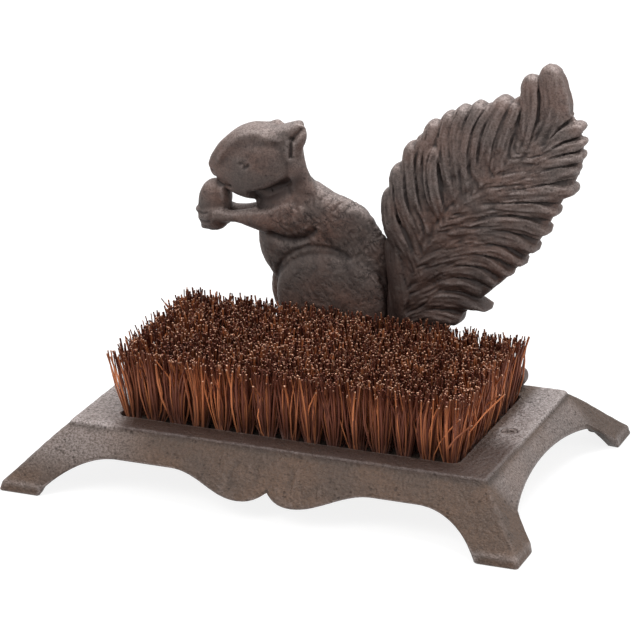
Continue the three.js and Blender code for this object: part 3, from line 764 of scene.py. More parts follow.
@dataclass(frozen=True)
class PlantFibre:
    """Stiff plant fibre: each strand has its own shade, with painted shade towards the root
    and a painted highlight on the cut tip.
    """

    name: str
    # The colour of the painted shade towards the roots
    root: Colour
    deep: Colour
    bright: Colour
    # The colour of the painted highlight on the cut tips
    tip: Colour

    def material(self) -> bpy.types.Material:
        """Builds the material. The mesh carries the marks strand and height, from 0 to 1.

        Returns:
            The material.
        """
        make = Finish(self.name)
        streaks = make.cloud(1.0, 2.0, at=make.stretched((2200.0, 2200.0, 160.0)))
        shade = make.mark("strand") + 0.35 * (streaks - 0.5)
        height = make.mark("height")
        body = make.blend(shade.step(0.3, 0.98), self.deep, self.bright)
        # Painted shade deep in the field, towards the roots
        body = make.blend((1.0 - height.step(0.0, 0.62)) * 0.8, body, self.root)
        # Painted highlight on the cut tips of the paler strands
        body = make.blend(height.step(0.975, 1.0) * make.mark("strand").step(0.25, 0.75) * 0.75, body, self.tip)
        make.wear_into(body, 0.42 + 0.25 * streaks)
        make.raise_by(streaks, 0.00008)
        return make.material


@dataclass(frozen=True)
class PlanedWood:
    """Plain hardwood with grain along X."""

    name: str
    early: Colour
    late: Colour
    # The colour of the darker top face
    dark_top: Colour

    def material(self) -> bpy.types.Material:
        """Builds the material. The mesh may carry a mark, from 0 to 1, that darkens the board's top face.

        Returns:
            The material.
        """
        make = Finish(self.name)
        rings = make.cloud(1.0, 3.0, at=make.stretched((9.0, 150.0, 150.0)))
        pores = make.cloud(1.0, 2.0, at=make.stretched((70.0, 1500.0, 1500.0)))
        body = make.blend(rings.step(0.35, 0.62), self.early, self.late)
        body = make.blend(pores.step(0.58, 0.7) * 0.5, body, self.late)
        # The top face darker
        body = make.blend(make.mark("dirt") * 0.92, body, self.dark_top)
        make.wear_into(body, 0.62 + 0.2 * pores)
        make.raise_by(0.5 * rings + 0.5 * pores, 0.0002)
        return make.material


@dataclass(frozen=True)
class BrownedSteel:
    """Steel of a screw, browned and rubbed."""

    name: str
    dark: Colour
    light: Colour

    def material(self) -> bpy.types.Material:
        """Builds the material.

        Returns:
            The material.
        """
        make = Finish(self.name, metallic=0.4)
        stains = make.cloud(420.0, 3.0)
        scratches = make.cloud(3000.0, 2.0)
        body = make.blend(stains.step(0.38, 0.66), self.dark, self.light)
        make.wear_into(body, 0.4 + 0.35 * stains)
        make.raise_by(scratches, 0.00005)
        return make.material


FRAME_FINISH = AntiqueIron(
    "frame_iron_finish",
    dark=colour(44, 33, 27),
    middle=colour(78, 61, 50),
    warm=colour(90, 68, 53),
    # Worn edges and painted light
    worn_and_lit=colour(170, 159, 156),
    roughness=0.52,
    grain_depth=0.0008,
    pebbled=1.6,
    patchy=0.15,
    worn=0.4,
    speckle=0.5,
    # Painted shade
    shade_colour=colour(46, 25, 19),
)
FIGURE_FINISH = AntiqueIron(
    "figure_iron_finish",
    dark=colour(34, 25, 23),
    middle=colour(82, 70, 65),
    warm=colour(101, 75, 65),
    # Worn edges and painted light
    worn_and_lit=colour(160, 146, 141),
    worn=0.45,
    # Painted shade
    shade_colour=colour(42, 28, 24),
    roughness=0.58,
    grain_depth=0.00028,
    pits=0.35,
)
FIBRE_FINISH = PlantFibre(
    "bristle_finish",
    # Painted shade at the roots
    root=colour(40, 22, 17),
    deep=colour(126, 70, 51),
    bright=colour(238, 148, 96),
    # Painted highlight on the cut tips
    tip=colour(238, 194, 166),
)
WOOD_FINISH = PlanedWood(
    # The last colour darkens the top face
    "block_wood_finish", early=colour(150, 112, 76), late=colour(104, 72, 46), dark_top=colour(30, 25, 22)
)
STEEL_FINISH = BrownedSteel("screw_steel_finish", dark=colour(92, 80, 76), light=colour(150, 137, 131))


def iron_marks(surface: Surface, fine: float, broad: float) -> Surface:
    """Marks a casting's hollows, for painted shade, and its rubbed edges, from how far each vertex lies off
    the softened surface.

    Args:
        surface: The casting.
        fine: The depth in mm that counts as fully hollow or fully rubbed against near neighbours.
        broad: The same against a wider ring of neighbours.

    Returns:
        The same surface, with the marks hollow and edge.
    """
    near, wide = surface.hollows(2) / fine, surface.hollows(14) / broad
    # Painted shade in the hollows
    surface.marks["hollow"] = np.clip(0.45 * near + 0.75 * wide, 0.0, 1.0)
    surface.marks["edge"] = np.clip(-0.5 * near - 0.6 * wide - 0.12, 0.0, 1.0)
    return surface


def painted_top_light(surface: Surface, low: float, amount: float) -> Array:
    """Painted top light: how much each vertex faces up, above a height, and a little more the higher it is.

    Args:
        surface: The casting.
        low: The height where it starts, in mm.
        amount: The share on a face that looks straight up.

    Returns:
        One number for each vertex.
    """
    up = smoothstep(0.3, 0.85, surface.normals()[:, 2])
    z = surface.vertices[:, 2]
    return amount * up * smoothstep(low, low + 20.0, z) + 0.22 * smoothstep(76.0, 150.0, z)


# Base frame


@dataclass
class Walk:
    """The way round the frame: for each station, how a ring's half lengths and corner give its place.

    x is cx * (half length - corner) + ux * corner, and y the same with cy and uy. On a straight side
    one of cx and cy runs from -1 to 1, and at a corner ux and uy turn with the angle.
    """

    cx: Array
    cy: Array
    ux: Array
    uy: Array
    along_x: Array
    along_y: Array

    def ring(self, half_x: Array, half_y: Array, corner: Array) -> tuple[Array, Array]:
        """x and y of every station on a ring of that size."""
        return self.cx * (half_x - corner) + self.ux * corner, self.cy * (half_y - corner) + self.uy * corner


class Section:
    """The rows of the frame's section under way."""

    def __init__(self, stations: int) -> None:
        """Starts without rows."""
        self.flat = np.ones(stations)
        self.rows: list[Array] = []
        self.kinds: list[int] = []

    def add(self, skin: Skin, ring: Ring, height: Level) -> None:
        """Adds a row from a ring's x and y and its height."""
        self.rows.append(np.stack([ring[0] * self.flat, ring[1] * self.flat, height * self.flat], axis=1))
        self.kinds.append(skin.value)

    def cross(self, start: Ring, end: Ring, shares: Sequence[float], height: Level) -> None:
        """Adds hidden rows between two rings, at one height."""
        for share in shares:
            self.add(Skin.HIDDEN, [a + (b - a) * share for a, b in zip(start, end)], height)


@dataclass
class BaseFrame:
    """The splayed frame, as one section carried round the well.

    The section runs up the wall of the well, across the rim, over the lip, down the splayed apron to its
    scalloped lower edge, round that edge, and back up inside to the underside of the rim.

    well and rim are a half length, a half width and a corner radius. splay and foot are lengths along x and
    y, a bevel is how far in and how high it goes, and a tone is where it starts and where it is full.
    """

    well: Triple = WELL
    well_soft: float = 0.8
    rim: Triple = (116.9, 68.9, 1.8)
    splay: Pair = (28.1, 31.8)
    foot: Pair = (22.0, 22.8)
    wall: float = 6.5
    inner_corner: float = 1.5
    ankle: float = 5.0
    ankle_splay: float = 0.96
    lip: float = 0.9
    lip_depth: float = 2.3
    lip_splay: float = 0.04
    arch: float = 19.6
    lobe: float = 10.7
    cusp: float = 15.6
    lobe_offset: float = 15.3
    scroll_half_length: float = 57.0
    scroll_shift: float = 3.0
    arch_reach: float = 38.0
    side_arch: float = 21.8
    side_haunch: float = 15.3
    side_reach: float = 15.0
    edge_radius: float = 0.9
    front_bevel: Pair = (1.0, 1.8)
    end_bevel: Pair = (1.9, 3.1)
    seat_profile: tuple[Pair, ...] = (
        (0.0, 2.0), (4.75, 2.0), (4.75, -0.5), (2.5, -3.0), (2.5, -8.0), (0.0, -8.0)
    )
    # Where the painted sheen on the rim's ends, the paler end aprons and the painted shade on the rim's front
    # strip start and are full
    sheen_left: Pair = (-84.0, -99.0)
    sheen_right: Pair = (98.0, 106.0)
    pale_end: Pair = (117.0, 121.0)
    shaded_front: Pair = (-50.0, -57.0)
    scroll_width: float = 1.9
    scroll_traces: tuple[tuple[float, tuple[Pair, ...]], ...] = (
        (0.5, ((-13.0, 26.6), (-17.6, 25.0), (-19.4, 21.2), (-16.8, 17.4), (-12.4, 17.0))),
        (0.45, ((-9.4, 24.4), (-5.6, 22.8), (-4.8, 19.4), (-7.8, 17.2))),
        (0.5, ((4.6, 27.0), (9.4, 27.2), (13.6, 24.6), (14.0, 20.6), (11.0, 18.6))),
        (0.55, ((21.4, 23.4), (20.8, 19.8), (23.6, 17.4), (27.2, 18.8), (28.8, 22.6))),
        (-0.4, ((7.0, 19.8), (8.4, 17.2), (11.8, 14.8), (18.2, 13.4), (23.4, 14.0))),
        (-0.35, ((-26.0, 16.6), (-20.0, 14.0), (-12.0, 13.6))),
    )

    def walk(self) -> Walk:
        """Stations round the frame, closer where the lower edge is scalloped or steep.

        Returns:
            The stations.
        """
        long_stops = (-1.0, -0.9, -0.74, -0.44, 0.44, 0.74, 0.9, 1.0)
        long_side = stations_between(long_stops, (12, 34, 22, 110, 22, 34, 12))
        short_side = stations_between((-1.0, -0.86, -0.6, 0.6, 0.86, 1.0), (12, 30, 50, 30, 12))
        angle = np.linspace(-0.5, 0.0, 8)[1:-1] * math.pi
        one = np.ones_like(angle)
        parts = []
        for quarter in range(4):
            turn = quarter * math.pi / 2
            c, s = round(math.cos(turn)), round(math.sin(turn))
            t = long_side if quarter % 2 == 0 else short_side
            flat = np.ones_like(t)
            kinds = [flat * abs(c), flat * abs(s)]
            parts.append([t * c + flat * s, t * s - flat * c, flat * s, -flat * c, *kinds])
            around = angle + turn
            parts.append([one * (c + s), one * (s - c), np.cos(around), np.sin(around), 0 * one, 0 * one])
        rows = np.hstack(parts)
        return Walk(rows[0], rows[1], rows[2], rows[3], rows[4] > 0.5, rows[5] > 0.5)

    def splay_of(self, height: Array) -> Array:
        """How far out the apron is at each height: 0 at the rim, a soft S curve, then 1 at the floor.

        Args:
            height: The heights.

        Returns:
            The share of the splay at each.
        """
        lip = RIM_TOP - self.lip_depth
        drop = lip - self.ankle
        slope = bezier([
            (self.lip_splay, lip), (0.3, lip - drop * 0.22), (0.68, lip - drop * 0.72),
            (self.ankle_splay, self.ankle),
        ], 200)
        curve = np.vstack([slope, [(1.0, 0.8), (1.0, 0.0)]])[::-1]
        below = np.interp(height, curve[:, 1], curve[:, 0])
        return np.where(height > lip, self.lip_splay * (RIM_TOP - height) / self.lip_depth, below)

    def front_edge(self, x: Array) -> Array:
        """The lower edge of the front apron at each x: two lobes and a cusp, then an arch to the feet.

        Args:
            x: The places along the frame.

        Returns:
            The height at each.
        """
        inner = self.rim[0] + self.splay[0] - self.foot[0]
        flat_end = inner - self.arch_reach
        rise = self.cusp - self.lobe
        scroll = np.vstack([
            bezier([(0, self.cusp), (self.lobe_offset * 0.25, self.lobe + rise * 0.35),
                    (self.lobe_offset * 0.55, self.lobe), (self.lobe_offset, self.lobe)], 40),
            bezier([(self.lobe_offset, self.lobe), (self.lobe_offset + 15, self.lobe),
                    (self.scroll_half_length - 16, self.arch), (self.scroll_half_length, self.arch)], 60),
        ])
        leg = np.vstack([
            bezier([(flat_end, self.arch), (flat_end + self.arch_reach * 0.42, self.arch),
                    (inner - 9.5, self.arch * 0.58), (inner - 3, self.arch * 0.24)], 60),
            [(inner - 0.8, 0.56), (inner + 0.44, 0.0), (200.0, 0.0)],
        ])
        middle = np.interp(np.abs(x - self.scroll_shift), scroll[:, 0], scroll[:, 1])
        return np.where(np.abs(x) < flat_end, middle, np.interp(np.abs(x), leg[:, 0], leg[:, 1]))

    def end_edge(self, y: Array) -> Array:
        """The lower edge of an end apron at each y: one arch from foot to foot.

        Args:
            y: The places across the frame.

        Returns:
            The height at each.
        """
        inner = self.rim[1] + self.splay[1] - self.foot[1]
        haunch_y = inner - self.side_reach
        fall = self.side_arch - self.side_haunch
        half = np.vstack([
            bezier([(0, self.side_arch), (haunch_y * 0.4, self.side_arch),
                    (haunch_y * 0.74, self.side_haunch + fall * 0.6), (haunch_y, self.side_haunch)], 60),
            bezier([(haunch_y, self.side_haunch), (haunch_y + self.side_reach * 0.4, self.side_haunch * 0.8),
                    (inner - 4, self.side_haunch * 0.52), (inner - 2, self.side_haunch * 0.3)], 40),
            [(inner - 0.8, 0.56), (inner + 0.44, 0.0), (200.0, 0.0)],
        ])
        return np.interp(np.abs(y), half[:, 0], half[:, 1])

    def reach(self, height: Array, inset: Array) -> tuple[Array, Array]:
        """The apron's half length and half width at a height, drawn in by an inset."""
        out = self.splay_of(height)
        return self.rim[0] + out * self.splay[0] - inset, self.rim[1] + out * self.splay[1] - inset

    def outer_ring(self, walk: Walk, height: Array, inset: Array) -> tuple[Array, Array]:
        """x and y of the outer skin at a height, drawn in by an inset."""
        return walk.ring(*self.reach(height, inset), self.rim[2])

    def edge_heights(self, walk: Walk) -> Array:
        """The height of the lower edge at each station: the first height, going down, inside an arch.

        Args:
            walk: The stations.

        Returns:
            The height at each.
        """
        heights = np.linspace(RIM_TOP - self.lip_depth, 0.0, 500)[:, None]
        x, y = self.outer_ring(walk, heights, 0.0)
        arch = np.where(walk.along_x, self.front_edge(x), np.where(walk.along_y, self.end_edge(y), 0.0))
        inside = heights - arch <= 0.0
        first = np.argmax(inside, axis=0)
        return heights[first, 0]

    def bevel(self, walk: Walk, edge: Array) -> tuple[Array, Array, Array]:
        """How far in and how high the bevel of the lower edge goes, and its share against a plain rounding.

        Args:
            walk: The stations.
            edge: The lower edge's height at each.

        Returns:
            How far in, how high and the share, for each station.
        """
        share = smoothstep(7.0, 15.0, edge) * np.where(walk.along_x | walk.along_y, 1.0, 0.0)
        inset = np.where(walk.along_x, self.front_bevel[0], self.end_bevel[0])
        height = np.where(walk.along_x, self.front_bevel[1], self.end_bevel[1])
        return inset, height, share

    def inner_walk(self, walk: Walk, edge: Array) -> Walk:
        """The stations for the inner skin: straight in from the lower edge, and no further than its corner.

        Args:
            walk: The stations.
            edge: The lower edge's height at each.

        Returns:
            The inner stations.
        """
        x, y = self.outer_ring(walk, edge, 0.0)
        reach_x, reach_y = self.reach(edge, self.wall + self.inner_corner)
        cx = np.where(walk.along_x, np.clip(x / reach_x, -1, 1), walk.cx)
        cy = np.where(walk.along_y, np.clip(y / reach_y, -1, 1), walk.cy)
        return Walk(cx, cy, walk.ux, walk.uy, walk.along_x, walk.along_y)

    def inner_ring(self, inner: Walk, height: Array) -> tuple[Array, Array]:
        """x and y of the inner skin at a height."""
        return inner.ring(*self.reach(height, self.wall), self.inner_corner)

    def add_rim(self, section: Section, walk: Walk) -> None:
        """Runs up the wall of the well, over its soft edge, across the rim and over the lip.

        Args:
            section: The section under way.
            walk: The stations.
        """
        soft, lip = self.well_soft, self.lip
        for height in np.linspace(RIM_UNDERSIDE, RIM_TOP - soft, 4):
            section.add(Skin.HIDDEN, walk.ring(*self.well), height)
        for turn in np.linspace(0, math.pi / 2, 4)[1:]:
            back = soft * (1 - math.cos(turn))
            ring = walk.ring(self.well[0] + back, self.well[1] + back, self.well[2])
            section.add(Skin.RIM, ring, RIM_TOP - soft + soft * math.sin(turn))
        near = (self.well[0] + soft, self.well[1] + soft, self.well[2])
        far = (self.rim[0] - lip, self.rim[1] - lip, self.rim[2])
        for share in np.linspace(0, 1, 20)[1:-1]:
            section.add(Skin.RIM, walk.ring(*[a + (b - a) * share for a, b in zip(near, far)]), RIM_TOP)
        for turn in np.linspace(0, math.pi / 2, 5):
            height = RIM_TOP - lip * (1 - math.cos(turn))
            section.add(Skin.RIM, self.outer_ring(walk, height, lip * (1 - math.sin(turn))), height)

    def add_apron(self, section: Section, walk: Walk, edge: Array) -> tuple[Array, Array]:
        """Runs down the apron and round its lower edge, which is rounded or bevelled.

        Args:
            section: The section under way.
            walk: The stations.
            edge: The lower edge's height at each.

        Returns:
            x and y of the last ring.
        """
        low = RIM_TOP - self.lip_depth
        section.add(Skin.APRON, self.outer_ring(walk, low + 1.2, 0.0), low + 1.2)
        r = self.edge_radius
        bevel_in, bevel_up, bevelled = self.bevel(walk, edge)
        top = r + (bevel_up - r) * bevelled
        for share in np.linspace(0, 1, 40):
            height = low + (edge + top - low) * share
            section.add(Skin.APRON, self.outer_ring(walk, height, 0.0), height)
        for turn in np.linspace(0, math.pi / 2, 7)[1:]:
            run = turn / (math.pi / 2)
            up = r * (1 - math.sin(turn)) * (1 - bevelled) + bevel_up * (1 - run) * bevelled
            back = r * (1 - math.cos(turn)) * (1 - bevelled) + bevel_in * run * bevelled
            skin = Skin.APRON if run < 0.95 else Skin.HIDDEN
            section.add(skin, self.outer_ring(walk, edge + up, back), edge + up)
        return self.outer_ring(walk, edge, r + (bevel_in - r) * bevelled)

    def add_inside(self, section: Section, walk: Walk, edge: Array, start: tuple[Array, Array]) -> None:
        """Runs across the lower edge, up the inner skin, and back to the well under the rim.

        Args:
            section: The section under way.
            walk: The stations.
            edge: The lower edge's height at each.
            start: x and y of the last ring of the apron.
        """
        inner = self.inner_walk(walk, edge)
        section.cross(start, self.inner_ring(inner, edge), (0.25, 0.5, 0.75, 0.93), edge)
        for share in np.linspace(0.04, 1, 10):
            height = edge + (RIM_UNDERSIDE - edge) * share
            section.add(Skin.HIDDEN, self.inner_ring(inner, height), height)
        end = self.inner_ring(inner, np.full_like(edge, RIM_UNDERSIDE))
        section.cross(end, walk.ring(*self.well), (0.25, 0.5, 0.75), RIM_UNDERSIDE)

    def section_rows(self) -> tuple[Walk, Array, Array]:
        """The rows of the section, as x, y and z for each station.

        Returns:
            The stations, the rows as an array of rows by stations by 3, and the number of each row's skin.
        """
        walk = self.walk()
        edge = self.edge_heights(walk)
        section = Section(len(edge))
        self.add_rim(section, walk)
        start = self.add_apron(section, walk, edge)
        self.add_inside(section, walk, edge, start)
        return walk, np.stack(section.rows), np.array(section.kinds)

    def relief(self, walk: Walk, rows: Array, kinds: Array) -> Array:
        """How far each point stands out: the last traces of C scrolls on the lobes, and a cast skin.

        Args:
            walk: The stations.
            rows: The section's rows.
            kinds: The number of each row's skin.

        Returns:
            The height in mm for each row and station.
        """
        apron = (kinds == Skin.APRON.value)[:, None]
        points = rows[:, :, [0, 2]].reshape(-1, 2)
        standing = np.zeros(rows.shape[:2])
        for depth, trace in self.scroll_traces:
            far, share = path_distance(points, curve_through(trace, 16))
            groove = bump(far, self.scroll_width) * smoothstep(0.0, 0.2, share) * smoothstep(1.0, 0.7, share)
            standing -= depth * groove.reshape(rows.shape[:2]) * apron * walk.along_x
        skin = 0.16 * layered_noise(rows / 9.0, 3) + 0.12 * noise(rows / 2.4, 8)
        return standing + skin * (kinds != Skin.HIDDEN.value)[:, None]

    def tones(self, points: Array) -> dict[str, Array]:
        """The frame's differences of tone: painted sheen on the ends of the rim, paler end aprons, and painted
        shade.

        The painted shade of the bristles lies on the front strip of the rim, and the rim's front right corner
        is darker.

        Args:
            points: Rows of x, y and z.

        Returns:
            The mark pale, and the mark of painted shade, from 0 to 1.
        """
        x, y, z = points.T
        level = smoothstep(RIM_TOP - 2.0, RIM_TOP - 0.6, z)
        cloud = 0.5 + 0.5 * layered_noise(points[:, :2] / 14.0, 55)
        # Painted sheen on the rim's two ends, the right one towards the back
        left = smoothstep(*self.sheen_left, x)
        right = smoothstep(*self.sheen_right, x) * (0.05 + 0.95 * smoothstep(-30.0, 4.0, y))
        # Painted shade of the bristles on the rim's front strip, and a darker front right corner
        strip = smoothstep(*self.shaded_front, y) * smoothstep(-98.0, -84.0, x) * smoothstep(116.0, 108.0, x)
        corner = 0.85 * smoothstep(92.0, 100.0, x) * smoothstep(0.0, -30.0, y)
        rim_shade = np.maximum(strip, corner) * level * (0.65 + 0.35 * cloud)
        # Paler upper parts of the left and end aprons
        end = smoothstep(*self.pale_end, x) * smoothstep(72.0, 58.0, np.abs(y))
        shoulder = 0.45 * smoothstep(-60.0, -108.0, x) + 0.4 * end
        shoulder = shoulder * smoothstep(8.0, 24.0, z) * (1.0 - level)
        pale = level * np.clip((1.2 * left + 1.4 * right) * (0.55 + 0.45 * cloud), 0.0, 1.0) + shoulder
        return {"pale": np.clip(pale, 0.0, 1.0), "rim_shade": np.clip(rim_shade, 0.0, 1.0)}

    def mesh(self) -> Surface:
        """The frame's surface: the section's rows carried round, and pushed out by the relief.

        Returns:
            The surface.
        """
        walk, rows, kinds = self.section_rows()
        count, stations, _ = rows.shape
        faces = grid_faces(count, stations, row_loop=True)
        surface = Surface(rows.reshape(-1, 3), [faces]).facing_out()
        height = self.relief(walk, rows, kinds).reshape(-1)
        on_floor = surface.vertices[:, 2] < 2.0
        surface.vertices = surface.vertices + surface.normals() * np.where(on_floor, 0.0, height)[:, None]
        return surface

    def pockets(self) -> list[Surface]:
        """The countersunk seats of the two rim screws, as solids to take away."""
        seats = [(side, turned(self.seat_profile, 64, lambda x, y: 0.0 * x)) for side in Side]
        return [seat.shifted((side.value * RIM_SCREW_X, 0.0, RIM_TOP)) for side, seat in seats]

    def build(self) -> bpy.types.Object:
        """Makes the frame, takes away the screw seats, and gives it its finish.

        Returns:
            The piece.
        """
        cutter = passing_object("pockets", joined(self.pockets()))

        def modify(passing: bpy.types.Object) -> None:
            """Welds the frame, cuts the seats and leaves triangles.

            Args:
                passing: The object that carries the frame.
            """
            weld = passing.modifiers.new("weld", "WELD")
            weld.merge_threshold = 2e-6
            cut = passing.modifiers.new("cut", "BOOLEAN")
            cut.operation = "DIFFERENCE"
            cut.solver = "EXACT"
            cut.object = cutter
            passing.modifiers.new("triangles", "TRIANGULATE")

        surface = iron_marks(evaluated(self.mesh(), modify), fine=0.12, broad=0.6)
        # Painted sheen and painted shade on the rim, and paler end aprons
        surface.marks.update(self.tones(surface.vertices))
        discard(cutter)
        piece = to_object("frame_casting", surface, Slot.FRAME)
        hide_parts("base_frame")
        piece.data.materials.append(FRAME_FINISH.material())
        return piece


# Squirrel casting


@dataclass(frozen=True)
class Limb:
    """A rounded limb: stations along a curve, each x, z, half height across the curve and half depth."""

    stations: Sequence[Sequence[float]]
    offset: float = 0.0
    square: float = 2.0
    rings: int = 48
    sides: int = 36

    def surface(self) -> Surface:
        """Rings square to the curve: superellipses, |a|^square + |b|^square = 1, of the stations' sizes.

        Returns:
            The closed limb.
        """
        rows = curve_through(self.stations, self.rings)
        slope = np.gradient(rows[:, :2], axis=0)
        slope /= np.linalg.norm(slope, axis=1, keepdims=True)
        angle = np.linspace(0, 2 * math.pi, self.sides, endpoint=False)
        power = 2.0 / self.square
        across = np.sign(np.cos(angle)) * np.abs(np.cos(angle)) ** power
        depth = np.sign(np.sin(angle)) * np.abs(np.sin(angle)) ** power
        half, thick = np.maximum(rows[:, 2:3], 0.3), np.maximum(rows[:, 3:4], 0.3)
        x = rows[:, :1] - slope[:, 1:] * across * half
        z = rows[:, 1:2] + slope[:, :1] * across * half
        y = self.offset + depth * thick + 0 * x
        return tube_of_rings(np.stack([x, y, z], axis=2))


@dataclass(frozen=True)
class Ball:
    """An egg, or a flatter pad where its power is above 2: its middle and its three radii."""

    middle: Triple
    radii: Triple
    power: float = 2.0

    def surface(self) -> Surface:
        """Rings round the Y axis: at the share r of the radius, the depth is (1 - r^power)^(1/power).

        Returns:
            The closed egg.
        """
        turn = np.linspace(0.02, math.pi - 0.02, 34)[:, None]
        share, side = np.sin(turn), np.sign(np.cos(turn))
        around = np.linspace(0, 2 * math.pi, 44, endpoint=False)
        depth = side * (1.0 - share**self.power) ** (1.0 / self.power)
        unit = np.stack([share * np.cos(around), depth + 0 * around, share * np.sin(around)], axis=2)
        return tube_of_rings(unit * np.asarray(self.radii) + np.asarray(self.middle))


@dataclass(frozen=True)
class Crease:
    """A groove, or a ridge where its depth is below 0, along a curve of x and z on the figure's sides."""

    path: tuple[Pair, ...]
    depth: float
    width: float

    def height(self, points: Array) -> Array:
        """The height to add at each x and z: a bell across the curve, fading at its two ends."""
        far, share = path_distance(points, curve_through(self.path, 10 * len(self.path)))
        return -self.depth * bump(far, self.width) * smoothstep(0.0, 0.12, share) * smoothstep(1.0, 0.88, share)


def one_skin(surfaces: Sequence[Surface], voxel: float, softening: int) -> Surface:
    """Joins overlapping closed surfaces into one skin of small even faces.

    Args:
        surfaces: The surfaces.
        voxel: The size of a face, in mm.
        softening: How often the joints are smoothed.

    Returns:
        The skin.
    """

    def modify(passing: bpy.types.Object) -> None:
        """Remeshes and smooths.

        Args:
            passing: The object that carries the surfaces.
        """
        remesh = passing.modifiers.new("skin", "REMESH")
        remesh.mode = "VOXEL"
        remesh.voxel_size = voxel * MM
        soften = passing.modifiers.new("soften", "SMOOTH")
        soften.factor = 0.5
        soften.iterations = softening

    return evaluated(joined(surfaces), modify)


@dataclass
class SquirrelBody:
    """Body, head, arms, nut, haunches, feet and the scrolled bar: limbs joined and carved."""

    voxel: float = 0.62
    softening: int = 8
    bar_half_length: float = 95.4
    bar_half_depth: float = 4.5
    bar_height: float = 12.6
    scroll_radius: float = 5.9
    curl_radius: float = 3.2

    def bar(self) -> Surface:
        """The bar under the feet: an outline with a lobe and a curl at each end, pushed through.

        Returns:
            The closed bar.
        """
        lobe_x = self.bar_half_length - self.scroll_radius
        curl_x, curl_z = lobe_x - 3.2, 2 * self.scroll_radius + 1.2
        lobe = np.radians(np.linspace(-80, 42, 14))
        curl = np.radians(np.linspace(-38, 150, 16))
        half = np.vstack([
            np.stack([np.linspace(0, lobe_x - 2, 20), np.zeros(20)], axis=1),
            np.stack([lobe_x + self.scroll_radius * np.cos(lobe),
                      self.scroll_radius * (1 + np.sin(lobe))], axis=1),
            np.stack([curl_x + self.curl_radius * np.cos(curl),
                      curl_z + self.curl_radius * np.sin(curl)], axis=1),
            [(curl_x - 8, self.bar_height - 0.2), (curl_x - 18, self.bar_height * 0.9)],
            np.stack([np.linspace(curl_x - 26, 0, 18), np.full(18, self.bar_height)], axis=1),
        ])
        left = half[::-1] * (-1, 1)
        outline = np.vstack([half, left[left[:, 0] < -1e-6]])
        middle = np.array([0.0, self.bar_height * 0.5])
        rings = []
        for inset, share in ((1.0, -1.0), (0.3, -0.93), (0.0, -0.78), (0.0, 0.78), (0.3, 0.93), (1.0, 1.0)):
            shrink = np.array([1 - inset / self.bar_half_length, 1 - inset / middle[1]])
            point = middle + (outline - middle) * shrink
            depth = np.full(len(point), share * self.bar_half_depth)
            rings.append(np.stack([point[:, 0], depth, point[:, 1]], axis=1))
        return tube_of_rings(np.stack(rings))

    def head(self) -> list[Surface]:
        """The head with its flat cheeks, the neck and the two ears.

        Returns:
            Their surfaces.
        """
        skull = Limb((
            (-90.6, 103.2, 1.4, 1.0), (-89.4, 103.8, 3.8, 2.6), (-87.6, 105, 6.6, 4.6),
            (-83.8, 106.8, 10.4, 7.0), (-77.3, 109.2, 15.4, 9.4), (-69.5, 111.2, 19.8, 11.4),
            (-61, 113, 21, 12.2), (-52, 115.8, 18.8, 12.0), (-45, 117.3, 15.2, 10.6),
            (-40.5, 117.6, 11.2, 8), (-37.6, 117.4, 6, 5),
        ), square=3.6, rings=64, sides=72)
        neck = Limb(((-38, 72, 17, 9.6), (-40, 84, 19, 10.4), (-45.6, 94, 18.9, 10.3), (-50, 104, 15, 9.6),
                     (-52, 112, 10, 8)), square=2.4)
        crown = Limb(((-54, 124, 8, 9.0), (-48, 127, 7.4, 9.4), (-42.5, 131, 5.6, 9.0), (-39, 134.2, 3.6, 7.6),
                      (-36, 137, 1.6, 2.5)), offset=-1.5, square=2.8)
        near_ear = Limb(((-46, 106, 9.0, 0.6), (-44.4, 113, 8.8, 2.4), (-42.5, 119, 8.2, 4.0),
                         (-40.5, 126, 7.4, 4.4), (-37.6, 131, 6.6, 3.9), (-35.6, 134.4, 5.0, 3.2),
                         (-34.2, 137.2, 2.4, 1.8)), offset=-6.2, rings=34)
        far_ear = Limb(((-50, 122, 9, 4), (-53.5, 130, 6, 3.2), (-54.6, 134.6, 2.4, 2)), offset=6.5, rings=24)
        nape = Limb(((-33, 97, 8.0, 4.4), (-36.2, 105.5, 6.4, 5.0), (-38.2, 111, 6.0, 5.2),
                     (-38.9, 118, 5.0, 5.2), (-38.9, 126, 3.8, 4.6), (-38.2, 131, 2.4, 3.4)),
                    offset=-4.4, square=2.5)
        chin = Limb(((-86, 101.4, 3.6, 4.0), (-78, 99.0, 5.0, 6.6), (-70, 97.2, 6.0, 8.6),
                     (-61, 97.2, 7.0, 9.4)), square=2.4)
        return [one.surface() for one in (skull, neck, nape, chin, crown, near_ear, far_ear)]

    def paws(self, side: int) -> list[Surface]:
        """An arm with its hand and fingers.

        Args:
            side: -1 for the near arm and 1 for the far one.

        Returns:
            Their surfaces.
        """
        arm = Limb((
            (-25, 85, 6, 2.5), (-31, 84.5, 10.6, 5.4), (-40, 83.5, 11.8, 6.6), (-51, 81.8, 9.6, 6.2),
            (-62, 81.0, 6.2, 5.2), (-72, 80.8, 3.5, 4.1), (-79, 80.2, 3.5, 3.9), (-86, 79.6, 4.6, 4.0),
        ), offset=side * 6.6, rings=56)
        surfaces = [arm.surface(), Ball((-87.6, side * 4.4, 78.8), (9.2, 5.6, 8.6)).surface()]
        for finger in range(3):
            place = (-95.4 + 1.6 * finger, side * 4.6, 82.0 - 4.6 * finger)
            surfaces.append(Ball(place, (2.9, 3.4, 2.3)).surface())
        return surfaces

